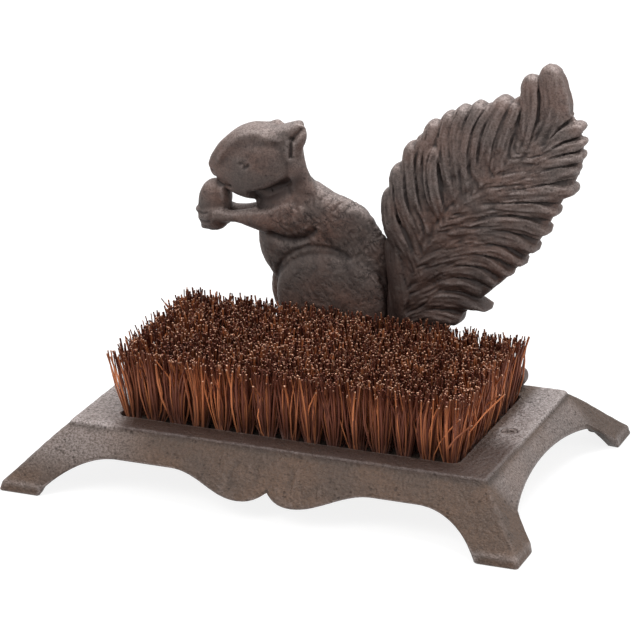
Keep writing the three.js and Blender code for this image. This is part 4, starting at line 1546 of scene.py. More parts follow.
    def leg(self, side: int) -> list[Surface]:
        """A haunch, the far one a little ahead, and its long hind foot.

        Args:
            side: -1 for the near leg and 1 for the far one.

        Returns:
            Their surfaces.
        """
        middle_x = -21.8 if side < 0 else -28.6
        foot = Limb(((-20, 14, 6.4, 4.0), (-38, 14.8, 6.2, 4.6), (-54, 14.8, 5.4, 4.6),
                     (-62, 13.6, 3.9, 3.8), (-65.5, 12.8, 1.6, 1.6)), offset=side * 4.8, rings=36)
        haunch = Ball((middle_x, side * 4.4, 40.5), (27.5, 7.7, 27.2), power=2.8)
        rump = Ball((-6.0, side * 3.4, 37.0), (20.5, 7.7, 31.0), power=2.5)
        return [foot.surface(), haunch.surface(), rump.surface()]

    def parts(self) -> list[Surface]:
        """The limbs and eggs that the figure is made of.

        Returns:
            Their surfaces.
        """
        torso = Limb((
            (-12.5, 6, 27, 5.0), (-14.5, 26, 30.5, 6.4), (-16.5, 43, 31.8, 6.8), (-20, 58, 34, 7.6),
            (-27, 72, 34.2, 9.8), (-36.5, 85.5, 22, 10.8), (-44.5, 96, 16.5, 9.4), (-48, 107, 11, 8),
        ), square=2.3, rings=70, sides=60)
        chest = Ball((-44, 0, 70), (18, 9.6, 24))
        back = Ball((-8.8, 0, 63.8), (25.0, 7.8, 25.0))
        nut = Ball((-88.8, 0, 84.8), (9.0, 8.4, 14.2), power=2.3)
        nut_shoulder = Ball((-84.6, 0, 89.0), (6.0, 7.0, 9.2))
        trunk = [one.surface() for one in (torso, chest, back)]
        limbs = [part for side in (-1, 1) for part in self.paws(side) + self.leg(side)]
        return [*trunk, *self.head(), *limbs, nut.surface(), nut_shoulder.surface(), self.bar()]

    def creases(self) -> list[Crease]:
        """The carved lines on both sides of the figure.

        Returns:
            The creases.
        """
        return [
            Crease(((-86, 108), (-79, 119), (-70, 127), (-60, 130.4), (-52, 128.6), (-40, 129.6)), -0.8, 1.8),
            Crease(((-85.5, 104.5), (-76, 115.5), (-67.5, 122.6), (-59.5, 125), (-52, 124),
                    (-43, 125.4)), 0.8, 2.6),
            Crease(((-69.6, 112.4), (-67.4, 113.0), (-65.4, 112.2)), 0.6, 0.8),
            Crease(((-66.8, 111.6), (-65.6, 111.0), (-64.2, 111.8), (-63.6, 113.4)), 1.0, 0.9),
            Crease(((-71.0, 114.8), (-66.8, 116.2), (-62.2, 115.2)), -0.25, 1.4),
            Crease(((-49.4, 136.6), (-48, 135.6), (-46.6, 135.2)), 0.8, 1.2),
            Crease(((-88, 101.8), (-84, 98.0), (-79, 97.0), (-75, 98.4)), 1.1, 1.0),
            Crease(((-89.5, 105.2), (-88.6, 104.9), (-87.6, 104.6)), 0.6, 0.8),
            Crease(((-66, 93.6), (-60, 95.4), (-54, 97.6), (-45.1, 102.2), (-38.5, 106.2)), 2.8, 1.9),
            Crease(((-66, 90.5), (-58, 91.4), (-53, 92.6), (-45.4, 97.4), (-38.4, 102.6)), 3.2, 3.9),
            Crease(((-29.2, 140.0), (-32.4, 136.2), (-36.0, 132.4), (-39.6, 128.0)), 2.5, 1.8),
            Crease(((-39.2, 131), (-39.3, 126.5), (-39.3, 121.5), (-39.6, 117.5)), 2.0, 1.1),
            Crease(((-54, 75.4), (-47, 72.4), (-40, 71.4), (-33.3, 72.8), (-26.8, 76.6),
                    (-23.6, 81.6)), 2.0, 2.2),
            Crease(((-50.6, 43), (-48.6, 52.4), (-43.4, 60.4), (-36.2, 66.0), (-27.6, 69.2), (-19, 69.6),
                    (-10.5, 67.4), (-3, 63.0)), 0.7, 1.5),
            Crease(((-82.4, 97), (-81.6, 89), (-81.2, 81)), -0.5, 1.4),
            Crease(((-97.5, 81.4), (-93, 80.6), (-88.5, 81.8)), 0.8, 0.8),
            Crease(((-95.8, 76.4), (-91, 75.8), (-87, 77.0)), 0.8, 0.8),
            Crease(((-63, 9.5), (-60, 13), (-57, 15)), 0.5, 0.9),
            Crease(((-62, 17), (-58.5, 16.4), (-55, 15.4)), 0.5, 0.9),
        ]

    def fur(self, points: Array) -> Array:
        """Short carved strokes: noise drawn out along the coat's lie, folded so that it makes sharp valleys.

        Args:
            points: Rows of x, y and z on the figure.

        Returns:
            The height in mm at each point.
        """
        x, y, z = points.T
        lie = math.radians(-50.0)
        along = x * math.cos(lie) + z * math.sin(lie) + 3.0 * noise(points / 8.0, 21)
        across = -x * math.sin(lie) + z * math.cos(lie) + 3.2 * noise(points / 9.0, 5)
        strokes = noise(np.stack([along / 5.0, across / 2.5, y / 9.0], axis=1), 2)
        fine = noise(np.stack([along / 2.8, across / 1.7, y / 6.0], axis=1), 12)
        sparse = smoothstep(-0.3, 0.35, noise(points / 6.0, 61))
        coat = 0.15 - 0.48 * bump(strokes, 0.24) * sparse - 0.22 * bump(fine, 0.28)
        return coat * self.coat_share(points)

    def coat_share(self, points: Array) -> Array:
        """How strongly the coat is carved at each point: least on the head, the forearms and the haunch.

        Args:
            points: Rows of x, y and z on the figure.

        Returns:
            The share at each point.
        """
        x, _, z = points.T
        head = smoothstep(98.0, 88.0, z - 0.35 * (x + 40.0))
        arm = 1.0 - 0.5 * smoothstep(-36.0, -54.0, x)
        haunch = 1.0 - 0.4 * smoothstep(1.04, 0.86, np.hypot((x + 22.0) / 28.0, (z - 40.5) / 27.0))
        lower = 1.0 + 0.2 * smoothstep(40.0, 28.0, z)
        above_bar = smoothstep(19.0, 26.0, z)
        return (0.12 + 0.88 * head) * arm * haunch * lower * above_bar

    def mesh(self) -> Surface:
        """Joins the limbs into one skin, then carves the creases, the ears' cups and the coat into it.

        Returns:
            The carved surface.
        """
        surface = one_skin(self.parts(), self.voxel, self.softening)
        points = surface.vertices
        normals = surface.normals()
        side_on = smoothstep(0.15, 0.6, np.abs(normals[:, 1]))
        height = sum(crease.height(points[:, [0, 2]]) for crease in self.creases()) * side_on
        height += self.fur(points)
        height += 0.12 * layered_noise(points / 3.0, 31)
        height *= smoothstep(0.2, 1.2, points[:, 2])
        surface.vertices = points + normals * height[:, None]
        surface.vertices[:, 2] = np.maximum(surface.vertices[:, 2], 0.0)
        return surface

    def shade(self, points: Array) -> Array:
        """Painted shade: under the jaw, between chest and forearms, against the tail, and darker towards the
        bottom.

        Args:
            points: Rows of x, y and z on the figure.

        Returns:
            The mark shade at each point.
        """
        plan = points[:, [0, 2]]
        band = np.array([(-62.0, 91.6), (-53.0, 93.6), (-45.0, 98.6), (-37.4, 104.4), (-34.0, 107.4)])
        jaw, _ = path_distance(plan, band)
        stem, _ = path_distance(plan, np.array([(14.5, 80.0), (15.5, 60.0), (15.5, 20.0)]))
        elbow, _ = path_distance(plan, np.array([(-50.0, 72.0), (-38.0, 70.4), (-28.0, 75.0)]))
        low = 0.3 * smoothstep(34.0, 18.0, plan[:, 1])
        return np.clip(bump(jaw, 4.0) + bump(stem, 5.0) + 0.5 * bump(elbow, 2.6) + low, 0.0, 1.0)

    def build(self) -> bpy.types.Object:
        """Makes the body with its marks; main gives it its finish.

        Returns:
            The piece.
        """
        surface = iron_marks(self.mesh(), fine=0.1, broad=0.5)
        # Painted shade under the jaw, between the parts and low down
        surface.marks["shade"] = self.shade(surface.vertices)
        surface.marks["coat"] = self.coat_share(surface.vertices)
        # Painted light: upper faces and higher parts lighter
        surface.marks["pale"] = painted_top_light(surface, low=60.0, amount=0.55)
        surface.shifted(FIGURE_PLACE)
        piece = to_object("squirrel_body", surface, Slot.FIGURE)
        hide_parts("squirrel_figure")
        return piece


@dataclass(frozen=True)
class Lock:
    """A lock of the tail's fur.

    It has a path in x and z from root to tip, a half width, a half depth, a share from 0 to 1 that says
    how far it narrows to a point, and from where along it.
    """

    path: tuple[Pair, ...]
    width: float
    depth: float
    point: float = 0.15
    start: float = 0.45

    def curve(self, count: int) -> Array:
        """Points along the path."""
        return curve_through(self.path, count)

    def surface(self) -> Surface:
        """A limb that rises out of the core at its root and ends in a tip.

        Past its start it narrows evenly by its point, and its last part follows a circle, the square
        root of 1 - t^2.

        Returns:
            The closed lock.
        """
        t = np.linspace(0.0, 1.0, 32)
        rows = self.curve(len(t))
        length = np.linalg.norm(np.diff(rows, axis=0), axis=1).sum()
        end = min(1.25 * self.width * (1.0 - self.point) / length + 0.03, 0.4)
        into = np.clip((t - 1.0 + end) / end, 0.0, 1.0)
        tip = np.sqrt(1.0 - into**2)
        taper = 1.0 - self.point * np.clip((t - self.start) / (1.0 - self.start), 0.0, 1.0) ** 1.2
        half = self.width * (0.6 + 0.4 * smoothstep(0.0, 0.5, t)) * taper * tip
        thick = self.depth * (0.62 + 0.38 * smoothstep(0.0, 0.5, t) - 0.14 * t**2) * tip**0.6
        return Limb(np.column_stack([rows, half, thick]), square=2.8, rings=len(t), sides=32).surface()


@dataclass
class SquirrelTail:
    """The tail: a core that rises from the bar, and locks of fur that fan out from its middle.

    The core's stations give x and z of its middle, its front and its back edge, and its half depth.
    """

    voxel: float = 0.62
    softening: int = 2
    lap: float = 0.75
    groove_depth: float = 1.6
    core: tuple[tuple[float, ...], ...] = (
        (23, 2, 14, 2, 32, 2, 5.5),
        (24, 28, 14.5, 32, 46, 24, 6.6),
        (28, 50, 15.5, 66, 62.5, 42.5, 7.0),
        (37, 72, 15, 99, 84.4, 63.8, 7.0),
        (50, 92, 25.6, 128, 99.4, 82.8, 7.0),
        (66, 110, 50.4, 150, 111, 105, 6.6),
        (83, 128, 75.6, 158.5, 122.4, 127, 5.8),
        (96, 146, 90, 166, 122.6, 147.5, 4.8),
        (103, 172, 98, 174, 109, 170, 2.8),
    )
    front: tuple[Lock, ...] = (
        Lock(((27, 6), (25, 34), (20.5, 60), (18, 80)), 6.8, 8.6),
        Lock(((33.5, 52), (26, 72), (18, 87), (16.5, 107)), 6.8, 9.2),
        Lock(((36, 67), (28.5, 89), (23, 104), (21.5, 121)), 7.2, 9.4),
        Lock(((39.5, 77.5), (32, 98), (29, 117), (29.5, 134)), 6.6, 9.2),
        Lock(((43, 82), (36.5, 105.5), (34, 124), (36, 139)), 5.0, 8.6),
        Lock(((46, 84), (40, 103), (37.5, 124), (41.5, 147.5)), 5.8, 8.8),
        Lock(((50.5, 84), (43, 103.5), (40.5, 122), (45.5, 135)), 6.4, 10.6),
        Lock(((54, 92), (50, 116), (47.5, 136.5), (51, 153)), 5.4, 8.6),
        Lock(((58, 100.5), (55, 122), (54, 141), (59, 157)), 5.6, 8.8),
        Lock(((61, 104), (58.5, 124), (60, 142), (68, 160)), 5.8, 9.0),
        Lock(((65, 110), (64, 128), (66, 144), (74, 159)), 4.6, 8.4),
        Lock(((69, 114), (71, 132), (75, 150), (82.5, 164)), 6.6, 8.6),
        Lock(((76.5, 119.5), (78.5, 136), (82.5, 150), (88, 162.5)), 5.4, 7.8),
        Lock(((88.5, 127.5), (93, 143), (95.2, 161), (94.4, 177.8)), 6.9, 6.8),
        Lock(((97, 130), (103.5, 146), (107.2, 160), (106.2, 171), (104.2, 184.3)), 9.8, 6.6, 0.42),
    )
    back: tuple[Lock, ...] = (
        Lock(((98.5, 131), (107, 142), (115.5, 148.5), (125.2, 152.6)), 5.8, 6.8, 0.62, 0.5),
        Lock(((94, 126.5), (105, 135), (115.5, 140.5), (126.2, 144)), 5.2, 7.2, 0.62, 0.5),
        Lock(((87.5, 121), (102.5, 129), (114, 133.5), (125.8, 136.4)), 5.4, 7.8, 0.62, 0.5),
        Lock(((81, 115.5), (99.5, 122), (112, 126.5), (123.2, 128.8)), 5.4, 8.0, 0.62, 0.5),
        Lock(((73.5, 107.5), (91.5, 111.5), (109, 115), (122.2, 117.4)), 6.6, 8.6, 0.6, 0.5),
        Lock(((67.5, 101), (83.5, 104), (100, 105), (112.8, 103.2)), 6.0, 8.6, 0.62, 0.5),
        Lock(((59, 86), (76, 94), (92.5, 95.5), (107.8, 91.6)), 6.8, 9.2, 0.6, 0.5),
        Lock(((51, 78.5), (69.5, 85.5), (87, 86.5), (101.2, 80.4)), 6.4, 9.2, 0.62, 0.5),
        Lock(((45.5, 71), (61, 77.5), (79.5, 79), (94.4, 71.8)), 6.2, 9.2, 0.6, 0.5),
        Lock(((41, 62), (55.5, 71), (72, 72.5), (87, 64.8)), 6.0, 9.2, 0.6, 0.5),
        Lock(((38, 55), (51.5, 63.5), (66.5, 65.5), (79.4, 59)), 5.4, 9.0, 0.55, 0.5),
        Lock(((34, 47), (47, 56), (60, 58), (71, 53.5)), 5.4, 9.0, 0.35),
        Lock(((29.5, 39), (42.5, 46), (57, 48), (75.0, 43.2)), 6.6, 9.6, 0.97, 0.62),
        Lock(((26, 29), (38.5, 36), (49.5, 37.5), (59, 36)), 6.0, 8.8, 0.3),
        Lock(((25, 17), (34, 24), (42, 25.5), (49.5, 24)), 6.4, 8.2, 0.3),
        Lock(((24, 6), (31, 12), (36, 13), (41, 11)), 6.4, 7.2, 0.3),
    )

    def core_surface(self) -> Surface:
        """The core: rings from the front edge over the middle to the back edge, flat with round rims.

        Returns:
            The closed core.
        """
        table = curve_through(self.core, 90)
        s = np.sin(np.linspace(-math.pi / 2, math.pi / 2, 26))
        reach = np.concatenate([s, s[::-1][1:-1]])
        sign = np.concatenate([-np.ones(26), np.ones(24)])
        far = np.abs(reach)[None, :, None]
        middle = table[:, None, 0:2]
        edge = np.where((reach > 0)[None, :, None], table[:, None, 4:6], table[:, None, 2:4])
        plane = middle + (edge - middle) * far
        y = sign * table[:, 6:7] * (1.0 - np.abs(reach) ** 4) ** 0.25
        return tube_of_rings(np.stack([plane[..., 0], y, plane[..., 1]], axis=2))

    def carving(self, points: Array) -> Array:
        """The carving of the locks, at each point of the tail.

        Each point belongs to the lock that is nearest in half widths. Seen from the front, the right-hand side
        of a lock stands proud, so that it laps over the next one. A narrow groove follows the line between
        two locks, where both are as near, and fine strands run along each lock.

        Args:
            points: Rows of x, y and z.

        Returns:
            The height in mm at each point.
        """
        plan = points[:, [0, 2]]
        best = np.full(len(points), 1e9)
        second = np.full(len(points), 1e9)
        height = np.zeros(len(points))
        along = np.zeros(len(points))
        for number, lock in enumerate(self.front + self.back):
            far, share, side = path_side(plan, lock.curve(16))
            wide = far / lock.width
            nearer = wide < best
            lap = -self.lap * np.clip(side / lock.width, -1.0, 1.0) * smoothstep(0.08, 0.4, share)
            strands = self.strands(number, share, side)
            rising = strands * smoothstep(0.0, 0.14, share) + lap * smoothstep(1.0, 0.92, share)
            height = np.where(nearer, rising, height)
            along = np.where(nearer, share, along)
            second = np.where(nearer, best, np.minimum(second, wide))
            best = np.where(nearer, wide, best)
        between = bump(second - best, 0.12) * smoothstep(1.7, 1.0, best) * smoothstep(0.06, 0.4, along)
        uneven = np.clip(0.5 + 1.1 * noise(plan / 7.0, 23), 0.05, 1.3)
        spine = self.spine_streaks(points) * smoothstep(0.6, 0.1, along)
        return height * smoothstep(1.5, 0.9, best) - self.groove_depth * between * uneven + spine

    def strands(self, number: int, share: Array, side: Array) -> Array:
        """Fine strands along a lock: soft grooves, streaks and short ticks, in a pattern of its own.

        Args:
            number: The lock's number.
            share: How far along the lock each point lies.
            side: Its distance from the lock's middle, with a sign.

        Returns:
            The height in mm at each point.
        """
        own = np.full_like(share, float(number))
        wander = 0.9 * noise(np.stack([share * 4.0, own], axis=1), 17)
        grooves = np.cos(2 * math.pi * (side + wander) / (3.0 + 0.8 * math.sin(number * 2.3)))
        streaks = noise(np.stack([share * 5.0, side / 1.15, own * 3.0], axis=1), 19)
        ticks = noise(np.stack([share * 11.0, side / 0.85, own * 5.0], axis=1), 29)
        return (0.05 * grooves + 0.44 * streaks + 0.2 * ticks) * smoothstep(1.02, 0.8, share)

    def spine_streaks(self, points: Array) -> Array:
        """Strokes that leave the tail's middle line to both sides as in a feather: noise with narrow valleys.

        Args:
            points: Rows of x, y and z on the tail.

        Returns:
            The height in mm at each point.
        """
        plan = points[:, [0, 2]]
        _, share, side = path_side(plan, curve_through([row[:2] for row in self.core], 40))
        steep = np.where(side > 0, 0.8, 1.45)
        fan = share * 200.0 - steep * np.abs(side) + 1.5 * noise(plan / 9.0, 70)
        other = np.where(side > 0, 40.0, 0.0)
        broad = noise(np.stack([fan / 5.2, np.abs(side) / 9.0 + other], axis=1), 71)
        fine = noise(np.stack([fan / 3.0, np.abs(side) / 5.0 + other], axis=1), 72)
        return 0.15 - 1.0 * bump(broad, 0.3) - 0.4 * bump(fine, 0.3)

    def shade(self, points: Array) -> Array:
        """Painted shade: darker towards the foot of the tail, and along the body.

        Args:
            points: Rows of x, y and z on the tail.

        Returns:
            The mark shade at each point.
        """
        plan = points[:, [0, 2]]
        stem, _ = path_distance(plan, np.array([(18.0, 80.0), (16.5, 60.0), (15.5, 20.0)]))
        cloud = 0.75 + 0.4 * noise(plan / 12.0, 81)
        foot = smoothstep(106.0, 44.0, plan[:, 1] + 0.1 * (plan[:, 0] - 20.0))
        return np.clip(0.85 * foot * cloud + 0.9 * bump(stem, 4.5), 0.0, 1.0)

    def mesh(self) -> Surface:
        """Joins the core and the locks into one skin and carves the strands into it.

        Returns:
            The carved surface.
        """
        surfaces = [self.core_surface()] + [lock.surface() for lock in self.front + self.back]
        surface = one_skin(surfaces, self.voxel, self.softening)
        points = surface.vertices
        normals = surface.normals()
        side_on = smoothstep(0.1, 0.5, np.abs(normals[:, 1]))
        height = self.carving(points) * side_on + 0.2 * layered_noise(points / 2.8, 40)
        surface.vertices = points + normals * height[:, None]
        return surface

    def build(self) -> bpy.types.Object:
        """Makes the tail with its marks; main gives it its finish.

        Returns:
            The piece.
        """
        surface = iron_marks(self.mesh(), fine=0.12, broad=0.5)
        # Painted shade towards the foot of the tail and where it meets the body
        surface.marks["shade"] = self.shade(surface.vertices)
        # Painted light: upper faces and higher parts lighter
        surface.marks["pale"] = painted_top_light(surface, low=90.0, amount=0.5)
        surface.shifted(FIGURE_PLACE)
        piece = to_object("squirrel_tail", surface, Slot.FIGURE)
        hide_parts("squirrel_figure")
        return piece


# Bristles and their block


@dataclass
class BristleField:
    """Tufts of stiff fibres in rows, each fibre a thin bent rod of four sides."""

    half_length: float = WELL[0]
    half_width: float = WELL[1]
    tufts_long: int = 15
    tufts_wide: int = 9
    margin: Pair = (6.6, 7.6)
    fibres: int = 54
    root_radius: float = 3.3
    tip_radius: float = 7.4
    thickness: float = 0.47
    foot_height: float = 26.0
    tip_height: float = 69.2
    bends: int = 4
    stray_share: float = 0.06
    stray_drop: float = 9.0
    loose: Pair = (1.7, 5.5)
    bend: Pair = (1.7, 3.2)
    lean_ends: Pair = (-7.0, 3.4)
    lean_sides: Pair = (-3.6, 0.5)
    rear_limit: float = 51.6
    cut_tilt: Pair = (-1.3, 0.9)
    cut_scatter: Pair = (1.1, 2.3)
    shade_curve: Pair = (1.2, 1.6)
    seed: int = 11
    names: tuple[str, ...] = ("left_end", "left_middle", "right_middle", "right_end")

    def tufts(self) -> Array:
        """The middles of the tufts, in an even grid.

        Returns:
            Rows of x and y.
        """
        x = np.linspace(-1, 1, self.tufts_long) * (self.half_length - self.margin[0])
        y = np.linspace(-1, 1, self.tufts_wide) * (self.half_width - self.margin[1])
        x, y = (part.ravel() for part in np.meshgrid(x, y, indexing="ij"))
        return np.stack([x, y], axis=1)

    def fibre_lines(self, generator: np.random.Generator) -> tuple[Array, Array, Array]:
        """The middle line of every fibre.

        A fibre runs from a place in its tuft's hole to a place in a wider disc at the cut, and bends by a
        part of a sine between them. The outer rows lean outwards. A few fibres stray, by the second number
        of loose and of bend, and none passes the rear limit, where the figure stands.

        Args:
            generator: The source of the scatter.

        Returns:
            The lines as fibres by points by 3, each fibre's half thickness, and its shade.
        """
        tufts = np.repeat(self.tufts(), self.fibres, axis=0)
        count = len(tufts)
        angle = generator.uniform(0, 2 * math.pi, count)
        radius = np.sqrt(generator.uniform(0, 1, count))
        disc = np.stack([np.cos(angle), np.sin(angle)], axis=1) * radius[:, None]
        root = tufts + disc * self.root_radius
        stray = generator.uniform(0, 1, count) < self.stray_share
        loose = generator.normal(0, 1, (count, 2)) * np.where(stray, *self.loose[::-1])[:, None]
        reach = tufts / (self.half_length, self.half_width)
        low, high = zip(self.lean_ends, self.lean_sides)
        lean = np.where(reach < 0, low, high)
        tip = tufts + disc * self.tip_radius + loose + lean * np.abs(reach) ** 5
        rear = self.rear_limit
        tip[:, 1] = np.where(tip[:, 1] > rear, 2 * rear - tip[:, 1] - 0.5, tip[:, 1])
        even = generator.normal(0, self.cut_scatter[0], count)
        short = np.abs(generator.normal(0, self.cut_scatter[1], count))
        cut = self.tip_height + reach @ self.cut_tilt + even - short
        cut -= np.where(stray, generator.uniform(0, self.stray_drop, count), 0.0)
        t = np.linspace(0, 1, self.bends + 1)[None, :, None]
        bend = generator.normal(0, 1, (count, 1, 2)) * np.where(stray, *self.bend[::-1])[:, None, None]
        plane = root[:, None] + (tip - root)[:, None] * (0.35 * t + 0.65 * t**1.5) + bend * np.sin(math.pi * t)
        z = self.foot_height + (cut[:, None, None] - self.foot_height) * t
        thick = self.thickness * generator.uniform(0.72, 1.25, count)
        tuft_shade = np.repeat(generator.normal(0, 0.09, len(self.tufts())), self.fibres)
        shade = generator.beta(*self.shade_curve, count) + tuft_shade + np.where(stray, 0.3, 0.0)
        return np.concatenate([plane, z], axis=2), thick, np.clip(shade, 0.0, 1.0)

    def rods(self, lines: Array, thick: Array, shade: Array) -> Surface:
        """Rods of four sides round the lines, with both ends closed.

        Args:
            lines: Fibres by points by 3.
            thick: Half of each fibre's thickness.
            shade: Each fibre's shade.

        Returns:
            The rods as one surface.
        """
        count, points, _ = lines.shape
        slope = np.gradient(lines, axis=1)
        slope /= np.linalg.norm(slope, axis=2, keepdims=True)
        side = np.cross(slope, (0.0, 1.0, 0.0))
        side /= np.linalg.norm(side, axis=2, keepdims=True)
        other = np.cross(slope, side)
        turn = (np.arange(4) * math.pi / 2)[None, None, :, None] + shade[:, None, None, None] * 9.0
        width = thick[:, None, None, None]
        ring = lines[:, :, None] + width * (np.cos(turn) * side[:, :, None] + np.sin(turn) * other[:, :, None])
        base = (np.arange(count) * points * 4)[:, None, None]
        walls = (base + grid_faces(points, 4)[None]).reshape(-1, 4)
        first = (base[:, 0] + np.array([3, 2, 1, 0])).reshape(-1, 4)
        last = (base[:, 0] + (points - 1) * 4 + np.arange(4)).reshape(-1, 4)
        height = np.broadcast_to(np.linspace(0, 1, points)[None, :, None], (count, points, 4))
        marks = {"strand": np.repeat(shade, points * 4), "height": height.reshape(-1)}
        faces = [np.vstack([walls[:, ::-1], first, last])]
        return Surface(ring.reshape(-1, 3), faces, marks)

    def build(self) -> list[bpy.types.Object]:
        """Makes the field in four pieces, one for each slice of the block's face.

        Returns:
            The pieces.
        """
        lines, thick, shade = self.fibre_lines(np.random.default_rng(self.seed))
        tufts = np.repeat(self.tufts(), self.fibres, axis=0)[:, 0]
        bounds = np.linspace(-self.half_length, self.half_length, len(self.names) + 1)
        material = FIBRE_FINISH.material()
        pieces = []
        for name, low, high in zip(self.names, bounds[:-1], bounds[1:]):
            chosen = (tufts >= low) & (tufts < high)
            surface = self.rods(lines[chosen], thick[chosen], shade[chosen])
            piece = to_object(f"bristles_{name}", surface, Slot.FIBRE)
            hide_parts(f"bristle_bed_{name}")
            piece.data.materials.append(material)
            pieces.append(piece)
        return pieces


@dataclass
class BrushBlock:
    """The wooden board under the rim that holds the tufts."""

    half_length: float = 112.05
    half_width: float = 59.05
    top: float = 27.8
    thickness: float = 13.0
    corner: float = 3.0
    soft_bottom: float = 1.2
    soft_top: float = 0.4

    def build(self) -> bpy.types.Object:
        """Stacks rounded rings up the board's side, with soft lower and upper edges.

        Returns:
            The piece.
        """
        bottom = self.top - self.thickness
        turn = np.linspace(0, math.pi / 2, 5)
        r = self.soft_bottom
        low = np.stack([r * (1 - np.sin(turn)), bottom + r * (1 - np.cos(turn))], axis=1)
        r = self.soft_top
        high = np.stack([r * (1 - np.cos(turn)), self.top - r + r * np.sin(turn)], axis=1)
        rings = rounded_rings(self.half_length, self.half_width, self.corner, np.vstack([low, high]))
        board = tube_of_rings(rings)
        # The top face darker
        board.marks["dirt"] = smoothstep(self.top - 0.5, self.top - 0.1, board.vertices[:, 2])
        piece = to_object("brush_board", board, Slot.WOOD)
        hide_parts("brush_block")
        piece.data.materials.append(WOOD_FINISH.material())
        return piece


# Screws


@dataclass
class Fasteners:
    """The rim screws, and the pan-head screws with washers that hold the squirrel from below."""

    cross_half_length: float = 2.5
    cross_half_width: float = 0.62
    cross_depth: float = 1.5
    figure_screw_x: float = 62.0
    washer_low: float = RIM_UNDERSIDE - 1.0
    head_top: float = RIM_UNDERSIDE - 1.2

    def cross(self, x: Array, y: Array) -> Array:
        """The depth of a cross recess: two crossed slots with sloping walls.

        Args:
            x: Places across the head.
            y: The same, the other way.

        Returns:
            The depth at each.
        """
        small = np.minimum(np.abs(x), np.abs(y))
        large = np.maximum(np.abs(x), np.abs(y))
        inside = smoothstep(self.cross_half_width + 0.22, self.cross_half_width - 0.12, small)
        ends = smoothstep(self.cross_half_length + 0.2, self.cross_half_length - 0.5, large)
        return self.cross_depth * inside * ends

    def rim_screw(self) -> Surface:
        """A countersunk wood screw: a slightly crowned head, a cone, a shank and a point.

        Returns:
            The closed screw.
        """
        face = [(r, -0.12 - 0.1 * (r / 4.2) ** 2) for r in np.linspace(0.03, 4.2, 26)]
        rest = [(4.3, -0.35), (4.3, -0.5), (2.05, -2.8), (2.0, -10.0), (0.9, -16.0), (0.05, -16.2)]
        return turned(face + rest, 96, self.cross)

    def pan_screw(self) -> Surface:
        """A pan-head screw, drawn head up: a domed head with a cross, and a shank below it.

        Returns:
            The closed screw.
        """
        face = [(r, 2.6 - 0.9 * (r / 3.8) ** 3) for r in np.linspace(0.03, 3.8, 24)]
        rest = [(3.9, 1.4), (3.9, 0.1), (3.8, 0.0), (2.0, 0.0), (2.0, -13.8), (1.5, -14.4), (0.05, -14.4)]
        return turned(face + rest, 80, self.cross)

    def washer(self) -> Surface:
        """A plain washer: a small rounded section carried round a ring.

        Returns:
            The closed washer.
        """
        section = np.array([(2.35, 0.0), (4.35, 0.0), (4.5, 0.12), (4.5, 0.68), (4.35, 0.8), (2.35, 0.8)])
        angle = np.linspace(0, 2 * math.pi, 72, endpoint=False)[:, None]
        rings = np.stack([section[:, 0] * np.cos(angle), section[:, 0] * np.sin(angle),
                          section[:, 1] + 0 * angle], axis=2)
        faces = grid_faces(len(rings), len(section), row_loop=True)
        return Surface(rings.reshape(-1, 3), [faces]).facing_out()

    def build(self) -> list[bpy.types.Object]:
        """Makes the six fasteners, each in its own place.

        Returns:
            The pieces.
        """
        material = STEEL_FINISH.material()
        pieces = []
        for side in Side:
            word = side.name.lower()
            rim = self.rim_screw().shifted((side.value * RIM_SCREW_X, 0.0, RIM_TOP))
            pan = self.pan_screw()
            pan.vertices = pan.vertices * (1.0, -1.0, -1.0)
            below = (side.value * self.figure_screw_x, FIGURE_PLACE[1])
            pan.shifted((*below, self.head_top))
            ring = self.washer().shifted((*below, self.washer_low))
            for kind, surface in (("block_screw", rim), ("figure_screw", pan), ("figure_washer", ring)):
                piece = to_object(f"{kind}_{word}_steel", surface, Slot.STEEL)
                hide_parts(f"{kind}_{word}")
                piece.data.materials.append(material)
                pieces.append(piece)
        return pieces


# Studio


def aim(thing: bpy.types.Object, place: Vector, target: Vector) -> None:
    """Puts a camera or lamp in a place and turns it to a target, upright."""
    thing.location = place
    thing.rotation_euler = (target - place).to_track_quat("-Z", "Y").to_euler()


@dataclass(frozen=True)
class Lamp:
    """A square soft lamp: its place and side in metres, its power in watts and its colour."""

    name: str
    place: Triple
    side: float
    power: float
    tint: Colour = (1.0, 1.0, 1.0)


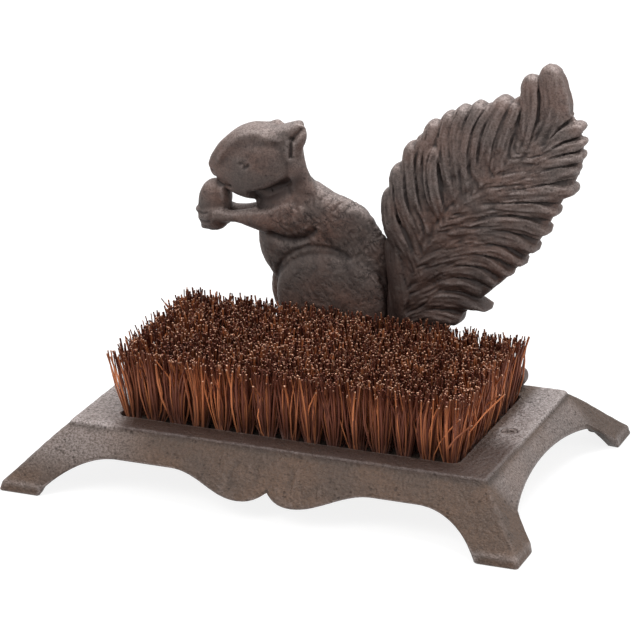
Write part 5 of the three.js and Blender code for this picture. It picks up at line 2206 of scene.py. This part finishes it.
@dataclass
class Studio:
    """A pale floor, soft lamps and the camera at the photograph's angle."""

    eye: Triple = (625.4, -1608.6, 699.7)
    target: Triple = (-0.9, 0.0, 81.4)
    lens: float = 192.7
    world_strength: float = 0.55
    floor_glow: float = 0.85
    floor_grey: float = 0.26
    floor_half: float = 6.0
    floor_gap: float = 0.0002
    middle: Triple = (0.0, 0.0, 0.08)
    lamps: tuple[Lamp, ...] = (
        Lamp("key", (-0.9, -1.5, 1.9), 1.3, 24.0, (1.0, 0.985, 0.97)),
        Lamp("top", (0.3, 0.5, 2.0), 1.4, 35.0, (0.98, 0.99, 1.0)),
        Lamp("side", (2.0, -0.5, 1.0), 1.0, 9.0),
    )

    def camera(self) -> None:
        """Puts the camera where the photograph was taken from."""
        data = bpy.data.cameras.new("camera")
        data.lens = self.lens
        data.sensor_width = 36.0
        data.clip_end = 50.0
        eye, target = (Vector(point) * MM for point in (self.eye, self.target))
        camera = linked("camera", data)
        aim(camera, eye, target)
        bpy.context.scene.camera = camera

    def hang(self, lamp: Lamp) -> None:
        """Hangs a lamp and points it at the middle of the object.

        Args:
            lamp: The lamp.
        """
        data = bpy.data.lights.new(lamp.name, "AREA")
        data.size = lamp.side
        data.energy = lamp.power
        data.color = lamp.tint
        aim(linked(lamp.name, data), Vector(lamp.place), Vector(self.middle))

    def world(self) -> None:
        """White where the camera looks past the object, and an even pale light on everything."""
        world = bpy.data.worlds.new("studio")
        bpy.context.scene.world = world
        world.use_nodes = True
        make = Nodes(world.node_tree)
        background = make.tree.nodes["Background"]
        background.inputs["Color"].default_value = (1.0, 1.0, 1.0, 1.0)
        mix = {0: make.seen_as_background(), 2: self.world_strength, 3: 1.0}
        strength = make.node("ShaderNodeMix", {}, mix)[0]
        make.tree.links.new(strength.socket, background.inputs["Strength"])

    def floor(self) -> None:
        """A wide white floor that keeps the object's shadow."""
        mesh = bpy.data.meshes.new("floor")
        corners = np.array([(-1, -1), (1, -1), (1, 1), (-1, 1)]) * self.floor_half
        mesh.from_pydata([(x, y, -self.floor_gap) for x, y in corners], [], [(0, 1, 2, 3)])
        make = Finish("floor_finish")
        make.shader.inputs["Base Color"].default_value = (self.floor_grey,) * 3 + (1.0,)
        make.shader.inputs["Roughness"].default_value = 1.0
        make.shader.inputs["Specular IOR Level"].default_value = 0.0
        glow = make.seen_as_background() * self.floor_glow
        emission = make.node("ShaderNodeEmission", {}, {"Strength": glow})[0]
        total = make.node("ShaderNodeAddShader", {}, {0: Value(make, make.shader.outputs[0]), 1: emission})[0]
        make.tree.links.new(total.socket, make.tree.nodes["Material Output"].inputs["Surface"])
        mesh.materials.append(make.material)
        linked("floor", mesh)

    def build(self) -> None:
        """Sets up the whole studio."""
        self.camera()
        self.world()
        self.floor()
        for lamp in self.lamps:
            self.hang(lamp)
        bpy.context.scene.view_settings.view_transform = "Standard"


def main() -> None:
    """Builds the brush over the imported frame, piece by piece."""
    logging.basicConfig(level=logging.INFO, format="%(name)s: %(message)s")
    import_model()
    Studio().build()
    BaseFrame().build()
    figure_material = FIGURE_FINISH.material()
    for piece in (SquirrelBody().build(), SquirrelTail().build()):
        piece.data.materials.append(figure_material)
    BristleField().build()
    BrushBlock().build()
    Fasteners().build()


if __name__ == "__main__":
    main()
